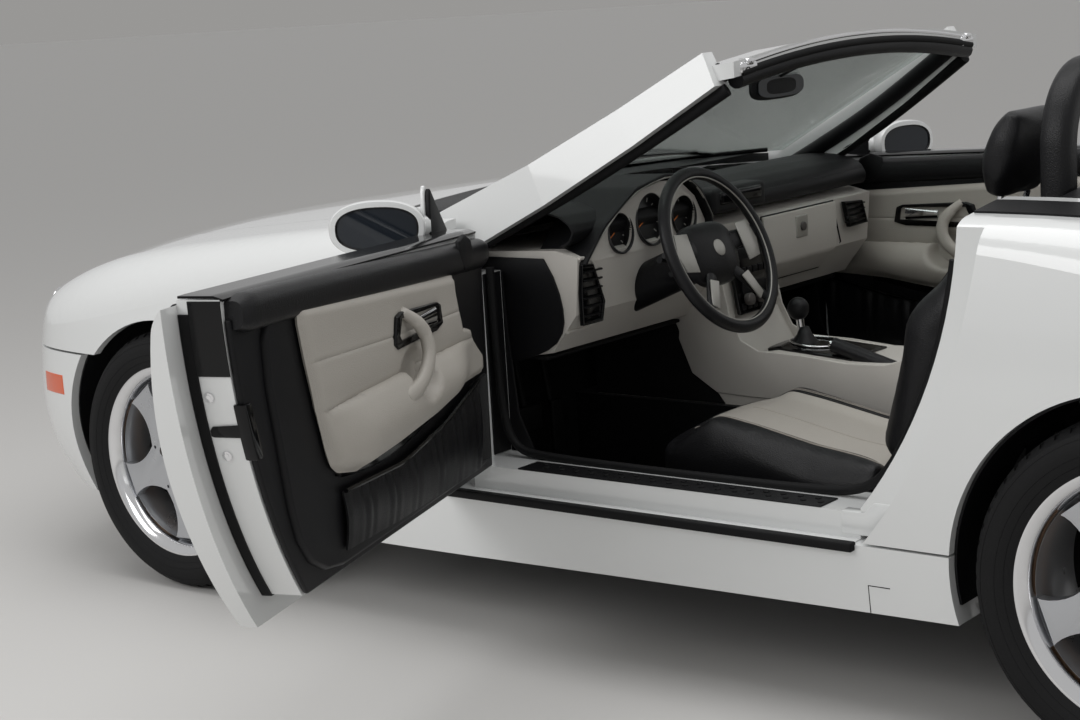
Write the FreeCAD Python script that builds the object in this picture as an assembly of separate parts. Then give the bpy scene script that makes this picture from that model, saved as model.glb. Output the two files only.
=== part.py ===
import FreeCAD, Part
import math
import os

V = FreeCAD.Vector
os.makedirs("parts", exist_ok=True)

# A two-seat roadster with its folding roof stowed in the boot and its left door open.
# Millimetres. The nose points along -X, the driver's side is -Y, up is +Z.
# The origin is on the ground, on the centreline, midway between the axles.

# Overall car
WHEELBASE = 2400.0
FRONT_OVERHANG = 785.0
REAR_OVERHANG = 815.0
HALF_WIDTH = 857.0
FRONT_AXLE_X = -WHEELBASE / 2
REAR_AXLE_X = WHEELBASE / 2
NOSE_X = FRONT_AXLE_X - FRONT_OVERHANG
TAIL_X = REAR_AXLE_X + REAR_OVERHANG

# Wheels and tyres
FRONT_TYRE_R = 317.0
REAR_TYRE_R = 314.0
FRONT_TYRE_W = 225.0
REAR_TYRE_W = 240.0
FRONT_TRACK = 1488.0
REAR_TRACK = 1485.0
BEAD_R = 219.0
RIM_FLANGE_R = 233.0
RIM_WALL = 9.0
RIM_DROP = 22.0
RIM_FIT = 0.3
RIM_INSET = 13.0
TREAD_CORNER_R = 22.0
SPOKE_COUNT = 5
SPOKE_W_HUB = 84.0
SPOKE_W_RIM = 62.0
SPOKE_THICK = 30.0
SPOKE_FACE_INSET = 14.0
HUB_R = 74.0
HUB_LENGTH = 88.0
DISC_R = 148.0
DISC_THICK = 22.0
DISC_INSET = 92.0

# Wheel arches, doors and shut gaps
FRONT_ARCH_R = 345.0
REAR_ARCH_R = 357.0
REAR_ARCH_Z = 304.0
FRONT_LINER_R = 376.0
REAR_LINER_R = 360.0
ARCH_LINER_WALL = 5.0
SEAT_GAP = 0.5
PIN_GAP = 0.3
SHUT_GAP = 5.0
FENDER_GAP = 8.5
DOOR_FRONT_X = -345.0
DOOR_BOTTOM_Z = 345.0
DOOR_BELT_FRONT_Z = 893.0
DOOR_BELT_REAR_Z = 928.0
DOOR_REAR_LOW = (659.0, 346.0)
DOOR_REAR_MID = (812.0, 589.0)
DOOR_REAR_TOP = (892.0, 892.0)
DOOR_FLANGE_Y = 796.0
DOOR_STEP = 52.0
DOOR_INNER_Y = 722.0
DOOR_TRIM_THICK = 30.0
ARMREST_DEPTH = 42.0
DOOR_HINGE_X = -326.0
DOOR_HINGE_Y = 812.0
DOOR_HINGE_Z = 620.0
DOOR_HINGE_LEAN = 0.01
DOOR_OPEN_DEG = 70.0
MIRROR_TURN_DEG = 18.0
MIRROR_CENTRE = (-134.0, -871.0, 921.0)
HINGE_HEIGHTS = (500.0, 720.0)
HINGE_PIN_R = 7.0
HINGE_EYE_R = 12.0
HINGE_EYE_HALF = 12.0
HINGE_POCKET_HALF = 22.0
HINGE_POCKET_SPARE = 3.0
HINGE_ARM_R = 7.0
STRAP_PIN_R = 6.0
STRAP_EYE_R = 12.0
STRAP_THICK = 14.0
STRAP_NOTCH = 36.0

# Body panels
PANEL = 20.0
BUMPER_WALL = 26.0
FENDER_EDGE = 3.0
PARTING_FRONT_Z = 562.0
PARTING_REAR_Z = 556.0
BONNET_REAR_X = -650.0
BONNET_HALF_REAR = 625.0
BONNET_HALF_FRONT = 440.0
BONNET_HINGE_BACK = 90.0
BONNET_HINGE_Z = 902.0
COWL_REAR_X = -405.0
PILLAR_FOOT_X = -480.0
PILLAR_FOOT_Y = 718.0
HEADLAMP_REAR_X = -1660.0
HEADLAMP_TOP_Z = 706.0
HEADLAMP_HALF = 742.0
LAMP_DEPTH = 90.0
GRILLE_HALF = 300.0
GRILLE_LOW_Z = 590.0
GRILLE_HIGH_Z = 700.0
GRILLE_BAR = 9.0
GRILLE_BAR_COUNT = 4
GRILLE_DEPTH = 26.0
INTAKE_HALF = 380.0
INTAKE_LOW_Z = 262.0
INTAKE_HIGH_Z = 350.0
SILL_TOP_Z = 390.0
SILL_INNER_Y = 655.0
SKIRT_TOP_Z = 338.0
LOCK_POST_REAR_X = 1000.0
BOOT_LID_FRONT_X = 1110.0
BOOT_LID_HALF_FRONT = 590.0
BOOT_LID_HALF_REAR = 545.0
BOOT_HINGE_BACK = 55.0
BOOT_HINGE_Z = 945.0
BOOT_FRONT_X = 949.0
BOOT_HALF = 455.0
BOOT_FLOOR_Z = 402.0
BOOT_RIM_Z = 840.0
TAIL_LAMP_FRONT_X = 1815.0
TAIL_LAMP_LOW_Z = 640.0
TAIL_LAMP_HIGH_Z = 790.0

# Cabin
FLOOR_Z = 215.0
FLOOR_WALL = 18.0
CABIN_HALF = 650.0
FIREWALL_X = -520.0
FIREWALL_TOP_Z = 800.0
POST_TOP_Z = 787.0
REAR_WALL_X = 905.0
REAR_WALL_TOP_Z = 905.0
TUNNEL_HALF = 125.0
TUNNEL_TOP_Z = 400.0
SEAT_Y = 372.0
SEAT_HALF = 225.0
SEAT_FRONT_X = 15.0
SEAT_BASE_Z = 262.0
SEAT_TOP_Z = 462.0
SEAT_REAR_X = 560.0
BACK_THICK = 130.0
BACK_LEAN_DEG = 15.0
BACK_LENGTH = 545.0
RESTRAINT_HALF = 120.0
RESTRAINT_HEIGHT = 178.0
RESTRAINT_THICK = 92.0
HOOP_X = 878.0
HOOP_THICK = 64.0
HOOP_HALF = 165.0
HOOP_TOP_Z = 1195.0
HOOP_TUBE = 62.0
DASH_HALF = 628.0
DASH_TOP_Z = 893.0
DASH_FACE_X = -120.0
CONSOLE_HALF = 112.0
WHEEL_CENTRE = (80.0, -370.0, 805.0)
STEERING_WHEEL_R = 190.0
STEERING_RIM_R = 14.0
STEERING_TILT_DEG = 23.0
STEERING_HUB_DEPTH = 46.0

# Running gear
WELL_WALL_Y = 462.0
SUBFRAME_Z = 205.0
AXLE_TUBE_R = 15.0
ENGINE_LENGTH = 640.0
ENGINE_WIDTH = 520.0
ENGINE_HEIGHT = 504.0
ENGINE_FRONT_X = -1460.0
ENGINE_LOW_Z = 255.5
PLATE_BOLT_SPAN = 177.8
PLATE_BOLT_R = 3.0
PLATE_Z = 450.0
CROSS_BEAM_BACK = 150.0
KINGPIN_LEAN_DEG = 12.0
BALL_Y = 700.0
BALL_Z = 208.0
UPPER_BALL_Z = 470.0
BALL_R = 10.0
CUP_R = 17.0
TOW_EYE_R = 9.0
TOW_EYE_Y = 230.0
TOW_EYE_Z = 430.0
JACK_X = (-600.0, 690.0)
JACK_Y = 700.0
JACK_Z = 178.0

# Body sections. Columns: place along the car, tuck of the waist from the widest point, waist height,
# extra tuck of the bottom edge, bottom height, side radius, shoulder radius, crown radius, crown height.
STATIONS = (
    (NOSE_X, 545.0, 430.0, 90.0, 300.0, 600.0, 60.0, 1200.0, 590.0),
    (NOSE_X + 35.0, 420.0, 430.0, 80.0, 240.0, 620.0, 70.0, 1500.0, 672.0),
    (NOSE_X + 105.0, 257.0, 430.0, 80.0, 208.0, 700.0, 90.0, 2000.0, 738.0),
    (NOSE_X + 238.0, 77.0, 440.0, 85.0, 198.0, 800.0, 120.0, 3000.0, 778.0),
    (FRONT_AXLE_X - 400.0, 22.0, 480.0, 60.0, 195.0, 900.0, 150.0, 4200.0, 810.0),
    (FRONT_AXLE_X, 2.0, 560.0, 46.0, 190.0, 950.0, 150.0, 6600.0, 866.0),
    (DOOR_FRONT_X - 255.0, 11.0, 590.0, 34.0, 188.0, 1300.0, 110.0, 6600.0, 930.0),
    (DOOR_FRONT_X + 345.0, 19.0, 600.0, 26.0, 197.0, 1500.0, 70.0, 6600.0, 962.0),
    (DOOR_FRONT_X + 845.0, 19.0, 605.0, 26.0, 205.0, 1500.0, 64.0, 6600.0, 975.0),
    (REAR_AXLE_X - 315.0, 15.0, 620.0, 26.0, 211.0, 1400.0, 70.0, 6600.0, 982.0),
    (REAR_AXLE_X, 0.0, 640.0, 38.0, 215.0, 1100.0, 110.0, 6000.0, 975.0),
    (REAR_AXLE_X + 400.0, 20.0, 610.0, 48.0, 225.0, 1000.0, 120.0, 4500.0, 955.0),
    (TAIL_X - 215.0, 68.0, 570.0, 64.0, 240.0, 950.0, 110.0, 3600.0, 930.0),
    (TAIL_X - 85.0, 175.0, 530.0, 80.0, 265.0, 900.0, 90.0, 2600.0, 898.0),
    (TAIL_X - 18.0, 330.0, 510.0, 90.0, 310.0, 820.0, 70.0, 2000.0, 842.0),
    (TAIL_X, 440.0, 500.0, 90.0, 340.0, 760.0, 60.0, 1600.0, 800.0),
)


def box(x0, x1, y0, y1, z0, z1):
    """Block between two corners."""
    return Part.makeBox(x1 - x0, y1 - y0, z1 - z0, V(x0, y0, z0))


def cylinder_y(x, z, radius, y0, y1):
    """Cylinder along the car's width."""
    return Part.makeCylinder(radius, y1 - y0, V(x, y0, z), V(0, 1, 0))


def tube(start, end, radius):
    """Straight round bar between two points."""
    a = V(*start)
    b = V(*end)
    return Part.makeCylinder(radius, (b - a).Length, a, b - a)


def bent_tube(points, radius):
    """Round bar along straight runs, with a ball in each corner."""
    bars = [tube(a, b, radius) for a, b in zip(points, points[1:])]
    balls = [Part.makeSphere(radius, V(*p)) for p in points[1:-1]]
    return fuse(bars + balls)


def fuse(shapes):
    """One solid from pieces that meet."""
    result = shapes[0]
    if len(shapes) > 1:
        result = shapes[0].multiFuse(shapes[1:])
    return result.removeSplitter()


def side_prism(points, y0, y1):
    """Outline in side view, carried across the car from y0 to y1."""
    corners = [V(x, y0, z) for x, z in points]
    face = Part.Face(Part.makePolygon(corners + corners[:1]))
    return face.extrude(V(0, y1 - y0, 0))


def plan_prism(points, z0, z1):
    """Outline in plan view, carried up from z0 to z1."""
    corners = [V(x, y, z0) for x, y in points]
    face = Part.Face(Part.makePolygon(corners + corners[:1]))
    return face.extrude(V(0, 0, z1 - z0))


def other_side(shape):
    """The same piece on the other side of the car."""
    return shape.mirror(V(0, 0, 0), V(0, 1, 0))


def pair(shape):
    """A piece and its twin on the other side, as solids that don't touch."""
    return Part.makeCompound([shape, other_side(shape)])


def lofted(sections, ruled=True):
    """Solid through closed sections."""
    return Part.makeLoft(sections, True, ruled)


def ring(points):
    """Closed wire through corner points in space."""
    corners = [V(*p) for p in points]
    return Part.makePolygon(corners + corners[:1])


def rounded(shape, radius):
    """Block with all its edges rounded."""
    return shape.makeFillet(radius, shape.Edges)


def section_wire(station, inset):
    """Closed body section: bottom line, lower and upper side arcs, shoulder arcs and crown arc."""
    x, tuck, waist_z, bottom_tuck, bottom_z, side_r, shoulder_r, crown_r, crown_z = station
    waist = HALF_WIDTH - tuck - inset
    bottom = HALF_WIDTH - tuck - bottom_tuck - inset
    bottom_z = bottom_z + inset
    side_r = side_r - inset
    shoulder_r = max(shoulder_r - inset, 20.0)
    crown_r = crown_r - inset
    crown_z = crown_z - inset
    side_c = (waist - side_r, waist_z)
    crown_c = (0.0, crown_z - crown_r)
    # Centre of the shoulder arc, which touches the side arc and the crown arc from inside
    a = side_r - shoulder_r
    b = crown_r - shoulder_r
    gap_y = crown_c[0] - side_c[0]
    gap_z = crown_c[1] - side_c[1]
    gap = math.hypot(gap_y, gap_z)
    along = (a * a - b * b + gap * gap) / (2 * gap)
    across = math.sqrt(a * a - along * along)
    uy = gap_y / gap
    uz = gap_z / gap
    centre = (side_c[0] + along * uy - across * uz, side_c[1] + along * uz + across * uy)
    if centre[0] < side_c[0] + along * uy:
        centre = (side_c[0] + along * uy + across * uz, side_c[1] + along * uz - across * uy)

    def on(circle, radius, angle):
        return (circle[0] + radius * math.cos(angle), circle[1] + radius * math.sin(angle))

    side_end = math.atan2(centre[1] - side_c[1], centre[0] - side_c[0])
    crown_end = math.atan2(centre[1] - crown_c[1], centre[0] - crown_c[0])
    shoulder = on(side_c, side_r, side_end)
    crown = on(crown_c, crown_r, crown_end)
    side_mid = on(side_c, side_r, side_end / 2)
    shoulder_mid = on(centre, shoulder_r, (side_end + crown_end) / 2)
    # Lower side arc, upright at the waist
    drop = waist_z - bottom_z
    shift = waist - bottom
    low_r = (drop * drop + shift * shift) / (2 * shift)
    low_mid_angle = -math.asin(drop / low_r) / 2
    low_mid = on((waist - low_r, waist_z), low_r, low_mid_angle)
    half = [(bottom, bottom_z), low_mid, (waist, waist_z), side_mid, shoulder, shoulder_mid, crown]

    def at(point, sign):
        return V(x, sign * point[0], point[1])

    edges = [Part.LineSegment(at(half[0], -1), at(half[0], 1))]
    for i in (0, 2, 4):
        edges.append(Part.Arc(at(half[i], 1), at(half[i + 1], 1), at(half[i + 2], 1)))
    edges.append(Part.Arc(at(half[6], 1), V(x, 0, crown_z), at(half[6], -1)))
    for i in (6, 4, 2):
        edges.append(Part.Arc(at(half[i], -1), at(half[i - 1], -1), at(half[i - 2], -1)))
    return Part.Wire([e.toShape() for e in edges])


def body_solid(inset):
    """Whole outer form of the body, drawn in by the inset all round."""
    length = TAIL_X - NOSE_X
    share = (length - 2 * inset) / length
    placed = [(NOSE_X + inset + (station[0] - NOSE_X) * share,) + station[1:] for station in STATIONS]
    return lofted([section_wire(station, inset) for station in placed], ruled=False)


def circle_through(a, b, c):
    """Centre and radius of the circle through three points."""
    d = 2 * (a[0] * (b[1] - c[1]) + b[0] * (c[1] - a[1]) + c[0] * (a[1] - b[1]))
    sa = a[0] ** 2 + a[1] ** 2
    sb = b[0] ** 2 + b[1] ** 2
    sc = c[0] ** 2 + c[1] ** 2
    x = (sa * (b[1] - c[1]) + sb * (c[1] - a[1]) + sc * (a[1] - b[1])) / d
    z = (sa * (c[0] - b[0]) + sb * (a[0] - c[0]) + sc * (b[0] - a[0])) / d
    return x, z, math.hypot(a[0] - x, a[1] - z)


def door_outline(margin, top_margin, y0, y1):
    """Door seen from the side, drawn in by the margin at its front, bottom and rear edges."""
    cx, cz, radius = circle_through(DOOR_REAR_LOW, DOOR_REAR_MID, DOOR_REAR_TOP)
    radius = radius - margin
    front = DOOR_FRONT_X + margin
    low = DOOR_BOTTOM_Z + margin
    high_rear = DOOR_BELT_REAR_Z - top_margin
    high_front = DOOR_BELT_FRONT_Z - top_margin

    def edge(z):
        return V(cx + math.sqrt(radius ** 2 - (z - cz) ** 2), y0, z)

    a = V(front, y0, low)
    b = edge(low)
    c = edge(high_rear)
    d = V(front, y0, high_front)
    lines = [
        Part.LineSegment(a, b),
        Part.Arc(b, edge((low + high_rear) / 2), c),
        Part.LineSegment(c, d),
        Part.LineSegment(d, a),
    ]
    face = Part.Face(Part.Wire([e.toShape() for e in lines]))
    return face.extrude(V(0, y1 - y0, 0))


outer = body_solid(0.0)
inner = body_solid(PANEL)
parts = {}

# Room that neighbours leave on the left side: the wheel arches and the closed door
FAR_Y = HALF_WIDTH + 60.0
FRONT_AXLE_Z = FRONT_TYRE_R
REAR_AXLE_Z = REAR_TYRE_R
front_arch = cylinder_y(FRONT_AXLE_X, FRONT_AXLE_Z, FRONT_ARCH_R, -FAR_Y, -WELL_WALL_Y)
LINER_OUTER_Y = HALF_WIDTH - 4.0
REAR_WELL_Y = WELL_WALL_Y + 60.0
rear_arch = cylinder_y(REAR_AXLE_X, REAR_ARCH_Z, REAR_ARCH_R, -FAR_Y, -REAR_WELL_Y)
arches = fuse([front_arch, rear_arch])
FRONT_ROOM_R = FRONT_LINER_R + ARCH_LINER_WALL + SEAT_GAP
REAR_ROOM_R = REAR_LINER_R + ARCH_LINER_WALL + SEAT_GAP
liner_room = fuse([
    cylinder_y(FRONT_AXLE_X, FRONT_AXLE_Z, FRONT_ROOM_R, -LINER_OUTER_Y, -WELL_WALL_Y),
    cylinder_y(REAR_AXLE_X, REAR_ARCH_Z, REAR_ROOM_R, -LINER_OUTER_Y, -REAR_WELL_Y),
])
door_room = fuse([
    door_outline(-SHUT_GAP, -60.0, -FAR_Y, -DOOR_FLANGE_Y + SHUT_GAP),
    door_outline(DOOR_STEP - SHUT_GAP, -60.0, -DOOR_FLANGE_Y, -CABIN_HALF + 60.0),
])
FENDER_REAR_X = DOOR_FRONT_X - FENDER_GAP
HINGE_DIRECTION = V(DOOR_HINGE_LEAN, 0.0, 1.0)


def on_hinge(z):
    """Point of the left door's hinge axis at a height."""
    return V(DOOR_HINGE_X + DOOR_HINGE_LEAN * (z - DOOR_HINGE_Z), -DOOR_HINGE_Y, z)


def hinge_bar(radius, z0, z1):
    """Round bar along the left door's hinge axis."""
    a = on_hinge(z0)
    b = on_hinge(z1)
    return Part.makeCylinder(radius, (b - a).Length, a, b - a)


DOOR_SWING_R = math.hypot(DOOR_HINGE_X - DOOR_FRONT_X, HALF_WIDTH - 14.0 - DOOR_HINGE_Y) + SHUT_GAP + 1.5
hinge_room = hinge_bar(DOOR_SWING_R, DOOR_BOTTOM_Z - SHUT_GAP, DOOR_BELT_REAR_Z)


def bonnet_half(x):
    """Half the bonnet's width at a place along the car."""
    share = (x - NOSE_X) / (BONNET_REAR_X - NOSE_X)
    return BONNET_HALF_FRONT + share * (BONNET_HALF_REAR - BONNET_HALF_FRONT)


def bonnet_plan(grow, rear_x):
    """Bonnet's outline in plan, grown by the shut gap where it cuts its neighbours."""
    front_x = NOSE_X - 40.0
    front = bonnet_half(front_x) + grow
    rear = bonnet_half(rear_x) + grow
    return [(front_x, -front), (rear_x, -rear), (rear_x, rear), (front_x, front)]


def bonnet_parts():
    """Bonnet with the grille's opening in its nose, and the grille's bars and frame."""
    zone = plan_prism(bonnet_plan(0.0, BONNET_REAR_X), PARTING_FRONT_Z + SHUT_GAP, DOOR_BELT_REAR_Z + 60.0)
    skin = outer.cut(inner).common(zone)
    opening = box(NOSE_X - 40.0, NOSE_X + 190.0, -GRILLE_HALF, GRILLE_HALF, GRILLE_LOW_Z, GRILLE_HIGH_Z)
    skin = skin.cut(opening)
    front = NOSE_X + 42.0
    bars = []
    pitch = (GRILLE_HIGH_Z - GRILLE_LOW_Z) / (GRILLE_BAR_COUNT + 1)
    for i in range(1, GRILLE_BAR_COUNT + 1):
        z = GRILLE_LOW_Z + i * pitch
        x = front + 0.55 * (z - GRILLE_LOW_Z)
        low = z - GRILLE_BAR / 2
        bars.append(box(x, x + GRILLE_DEPTH, -GRILLE_HALF, GRILLE_HALF, low, low + GRILLE_BAR))
    for y in (-GRILLE_HALF + 2.0, -7.0, GRILLE_HALF - 16.0):
        post = [(front + 12.0, GRILLE_LOW_Z + 1.0), (front + 40.0, GRILLE_LOW_Z + 1.0),
                (front + 105.0, GRILLE_HIGH_Z - 1.0), (front + 77.0, GRILLE_HIGH_Z - 1.0)]
        bars.append(side_prism(post, y, y + 14.0))
    return skin, fuse(bars)


bonnet, grille = bonnet_parts()
parts["grille"] = grille


def headlamp():
    """Solid lamp body that fills the corner between bonnet, fender and bumper."""
    rear = HEADLAMP_REAR_X
    zone = plan_prism(
        [(NOSE_X - 40.0, -bonnet_half(NOSE_X - 40.0) - SHUT_GAP), (rear, -bonnet_half(rear) - SHUT_GAP),
         (rear - 60.0, -HEADLAMP_HALF), (NOSE_X - 40.0, -HEADLAMP_HALF)],
        PARTING_FRONT_Z - SHUT_GAP / 2 + SEAT_GAP, HEADLAMP_TOP_Z)
    lamp = outer.common(zone)
    return lamp.cut(body_solid(LAMP_DEPTH))


parts["headlamps"] = pair(headlamp())


def fender():
    """Front fender, thin and hollow at its rear edge, where the door's front edge swings in."""
    top = DOOR_BELT_REAR_Z + 60.0
    high = box(FRONT_AXLE_X - 560.0, FENDER_REAR_X, -FAR_Y, 0.0, PARTING_FRONT_Z + SHUT_GAP / 2, top)
    low = box(FRONT_AXLE_X, FENDER_REAR_X, -FAR_Y, -400.0, SKIRT_TOP_Z + SHUT_GAP, top)
    zone = fuse([high, low])
    piece = outer.cut(inner).common(zone).cut(arches)
    piece = piece.cut(plan_prism(bonnet_plan(SHUT_GAP, COWL_REAR_X), 0.0, top))
    lamp_room = plan_prism(
        [(NOSE_X - 40.0, 0.0), (HEADLAMP_REAR_X + SHUT_GAP, 0.0),
         (HEADLAMP_REAR_X + SHUT_GAP, -bonnet_half(HEADLAMP_REAR_X)),
         (HEADLAMP_REAR_X + SHUT_GAP - 60.0, -HEADLAMP_HALF - SHUT_GAP),
         (NOSE_X - 40.0, -HEADLAMP_HALF - SHUT_GAP)],
        0.0, HEADLAMP_TOP_Z + SHUT_GAP)
    piece = piece.cut(lamp_room)
    hollow = body_solid(FENDER_EDGE).common(
        box(FENDER_REAR_X - 70.0, FENDER_REAR_X + 10.0, -FAR_Y, -CABIN_HALF, 0.0, DOOR_BELT_FRONT_Z - 30.0))
    pillar_room = box(PILLAR_FOOT_X - 12.0, FENDER_REAR_X + 5.0, -PILLAR_FOOT_Y - SHUT_GAP, 0.0, 700.0, top)
    return piece.cut(hollow).cut(pillar_room)


parts["fenders"] = pair(fender())


def front_bumper():
    """Bumper wrapped round the nose to the arches, with its lower intake open."""
    zone = box(NOSE_X - 20.0, FRONT_AXLE_X - 268.0, -FAR_Y, FAR_Y, 0.0, PARTING_FRONT_Z - SHUT_GAP / 2)
    piece = outer.cut(body_solid(BUMPER_WALL)).common(zone)
    room = fuse([front_arch, liner_room])
    both = fuse([room, other_side(room)])
    intake = box(NOSE_X - 20.0, NOSE_X + 200.0, -INTAKE_HALF, INTAKE_HALF, INTAKE_LOW_Z, INTAKE_HIGH_Z)
    tow_eye = Part.makeCylinder(TOW_EYE_R, 80.0, V(NOSE_X - 10.0, TOW_EYE_Y, TOW_EYE_Z), V(1, 0, 0))
    return piece.cut(both).cut(intake).cut(tow_eye)


parts["front_bumper"] = front_bumper()


# Windscreen. Columns: place, half width, height, pillar height in side view, pillar width.
PILLAR = (
    (-455.0, 688.0, 838.0, 112.0, 60.0),
    (-180.0, 640.0, 972.0, 94.0, 54.0),
    (20.0, 592.0, 1085.0, 84.0, 50.0),
    (196.0, 540.0, 1196.0, 74.0, 46.0),
)
GLASS_THICK = 14.0
HEADER_RISE = 36.0
HEADER_DEPTH = 92.0
HEADER_HEIGHT = 42.0
GLASS_FOOT_X = -596.0
GLASS_FOOT_Z = 921.0


def pillar():
    """Left windscreen pillar, leaning inboard as it rises."""
    sections = []
    lean = math.radians(26.0)
    for x, half, z, height, width in PILLAR:
        up = (-math.sin(lean) * height / 2, math.cos(lean) * height / 2)
        sections.append(ring([
            (x - up[0], -half - width / 2, z - up[1]),
            (x + up[0], -half - width / 2 + 10.0, z + up[1]),
            (x + up[0], -half + width / 2, z + up[1]),
            (x - up[0], -half + width / 2, z - up[1]),
        ]))
    return lofted(sections)


def header():
    """Beam across the top of the windscreen."""
    half = PILLAR[-1][1]
    sections = []
    for share in (-1.0, -0.6, 0.0, 0.6, 1.0):
        rise = HEADER_RISE * (1 - share * share)
        x = PILLAR[-1][0] + 14.0
        z = PILLAR[-1][2] + rise - 6.0
        y = share * half
        sections.append(ring([
            (x - HEADER_DEPTH * 0.62, y, z - HEADER_HEIGHT * 0.62),
            (x + HEADER_DEPTH * 0.38, y, z - HEADER_HEIGHT * 0.30),
            (x + HEADER_DEPTH * 0.38, y, z + HEADER_HEIGHT * 0.45),
            (x - HEADER_DEPTH * 0.55, y, z + HEADER_HEIGHT * 0.20),
        ]))
    return lofted(sections)


left_pillar = pillar()
frame = fuse([left_pillar, other_side(left_pillar), header()])
parts["windscreen_frame"] = frame


def glass(t):
    """Curved windscreen pane between the cowl, the pillars and the header, t thick along the car."""
    def ribbon(x_mid, x_side, half, z):
        outer_arc = Part.Arc(V(x_side, -half, z), V(x_mid, 0, z), V(x_side, half, z))
        inner_arc = Part.Arc(V(x_side + t, half, z), V(x_mid + t, 0, z), V(x_side + t, -half, z))
        return Part.Wire([
            outer_arc.toShape(),
            Part.LineSegment(V(x_side, half, z), V(x_side + t, half, z)).toShape(),
            inner_arc.toShape(),
            Part.LineSegment(V(x_side + t, -half, z), V(x_side, -half, z)).toShape(),
        ])
    low = ribbon(GLASS_FOOT_X, -380.0, PILLAR[0][1] - 52.0, GLASS_FOOT_Z)
    high = ribbon(PILLAR[-1][0] - 62.0, PILLAR[-1][0] - 44.0, PILLAR[-1][1] - 20.0, 1196.0)
    return lofted([low, high])


pane = glass(GLASS_THICK).cut(frame)
parts["windscreen_glass"] = pane


def hinge_strap(points, pivot, y):
    """Strap of a lid with its eye on the pivot, as an outline in side view."""
    plate = side_prism(points, -y - STRAP_THICK / 2, -y + STRAP_THICK / 2)
    eye = cylinder_y(pivot[0], pivot[1], STRAP_EYE_R, -y - STRAP_THICK / 2, -y + STRAP_THICK / 2)
    bore = cylinder_y(pivot[0], pivot[1], STRAP_PIN_R + PIN_GAP, -FAR_Y, 0.0)
    return fuse([plate, eye]).cut(bore)


BONNET_HINGE_X = BONNET_REAR_X + BONNET_HINGE_BACK
BONNET_STRAP_Y = bonnet_half(BONNET_REAR_X) - 16.0


def cowl():
    """Black panel between the bonnet and the windscreen, with the pins of the bonnet's hinges."""
    top = outer.common(box(BONNET_REAR_X + SHUT_GAP + 3.0, COWL_REAR_X, -FAR_Y, FAR_Y, 0.0, 990.0))
    lip = top.cut(inner)
    half = bonnet_half(BONNET_REAR_X)
    lip = lip.common(box(NOSE_X, COWL_REAR_X, -half, half, 840.0, 990.0))
    lip = lip.cut(glass(900.0)).cut(glass(GLASS_THICK))
    notch = box(BONNET_REAR_X, BONNET_HINGE_X + 28.0, -half - 1.0, -half + STRAP_NOTCH, 800.0, 1000.0)
    pin = cylinder_y(BONNET_HINGE_X, BONNET_HINGE_Z, STRAP_PIN_R, -half, -half + STRAP_NOTCH + 40.0)
    lip = lip.cut(notch).cut(other_side(notch))
    return fuse([lip, pin, other_side(pin)])


parts["cowl"] = cowl()
bonnet_strap = hinge_strap([
    (BONNET_REAR_X - 50.0, BONNET_HINGE_Z - 55.0), (BONNET_HINGE_X + 4.0, BONNET_HINGE_Z - 11.0),
    (BONNET_HINGE_X, BONNET_HINGE_Z + 11.0), (BONNET_REAR_X - 2.0, BONNET_HINGE_Z - 15.0),
    (BONNET_REAR_X - 50.0, BONNET_HINGE_Z - 20.0),
], (BONNET_HINGE_X, BONNET_HINGE_Z), BONNET_STRAP_Y)
left_bonnet = bonnet.common(box(NOSE_X - 40.0, BONNET_REAR_X, -FAR_Y, 0.0, 0.0, 1000.0)).fuse(bonnet_strap)
parts["bonnet"] = left_bonnet.fuse(other_side(left_bonnet))

# Interior mirror: stem and shell under the header
mirror_shell = Part.makeSphere(60.0)
scale = FreeCAD.Matrix()
scale.scale(V(0.42, 2.0, 0.55))
mirror_shell = mirror_shell.transformGeometry(scale)
mirror_shell.translate(V(10.0, 0.0, 1128.0))
mirror_stem = tube((14.0, 0.0, 1128.0), (170.0, 0.0, 1204.0), 8.0)
parts["interior_mirror"] = fuse([mirror_shell, mirror_stem]).cut(parts["windscreen_glass"]).cut(frame)


def sill():
    """Sill with the skirt below it and the step that the door closes on."""
    skirt = box(FRONT_AXLE_X + 200.0, REAR_AXLE_X - 200.0, -FAR_Y, -SILL_INNER_Y, 0.0, SKIRT_TOP_Z)
    step = box(FENDER_REAR_X - 60.0, DOOR_REAR_LOW[0] - 20.0, -FAR_Y, -SILL_INNER_Y, 0.0, SILL_TOP_Z)
    piece = outer.common(fuse([skirt, step]))
    thin = box(FENDER_REAR_X - 80.0, FENDER_REAR_X + SHUT_GAP, -FAR_Y, -CABIN_HALF - 75.0, SKIRT_TOP_Z,
               SILL_TOP_Z + 20.0)
    pads = [box(x - 40.0, x + 40.0, -JACK_Y - 22.0, -JACK_Y + 22.0, JACK_Z, JACK_Z + 40.0) for x in JACK_X]
    piece = piece.cut(door_room).cut(arches).cut(liner_room).cut(thin).cut(hinge_room)
    return fuse([piece] + pads)


parts["sills"] = pair(sill())


def hinge_post():
    """Post that carries the door's hinges, behind the fender's hollow rear edge."""
    post = box(FENDER_REAR_X - 90.0, DOOR_FRONT_X + DOOR_STEP - SHUT_GAP - 2.0, -CABIN_HALF - 68.0,
               -CABIN_HALF, SILL_TOP_Z, POST_TOP_Z)
    post = post.cut(hinge_room)
    pieces = [post]
    for z in HINGE_HEIGHTS:
        eye = hinge_bar(HINGE_EYE_R, z - HINGE_EYE_HALF, z + HINGE_EYE_HALF)
        start = on_hinge(z)
        arm = tube((start.x, start.y, z), (DOOR_FRONT_X + 30.0, -CABIN_HALF - 24.0, z), HINGE_ARM_R)
        pieces += [eye, arm]
    bore = hinge_bar(HINGE_PIN_R + PIN_GAP, DOOR_BOTTOM_Z, DOOR_BELT_REAR_Z)
    return fuse(pieces).cut(bore)


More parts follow.
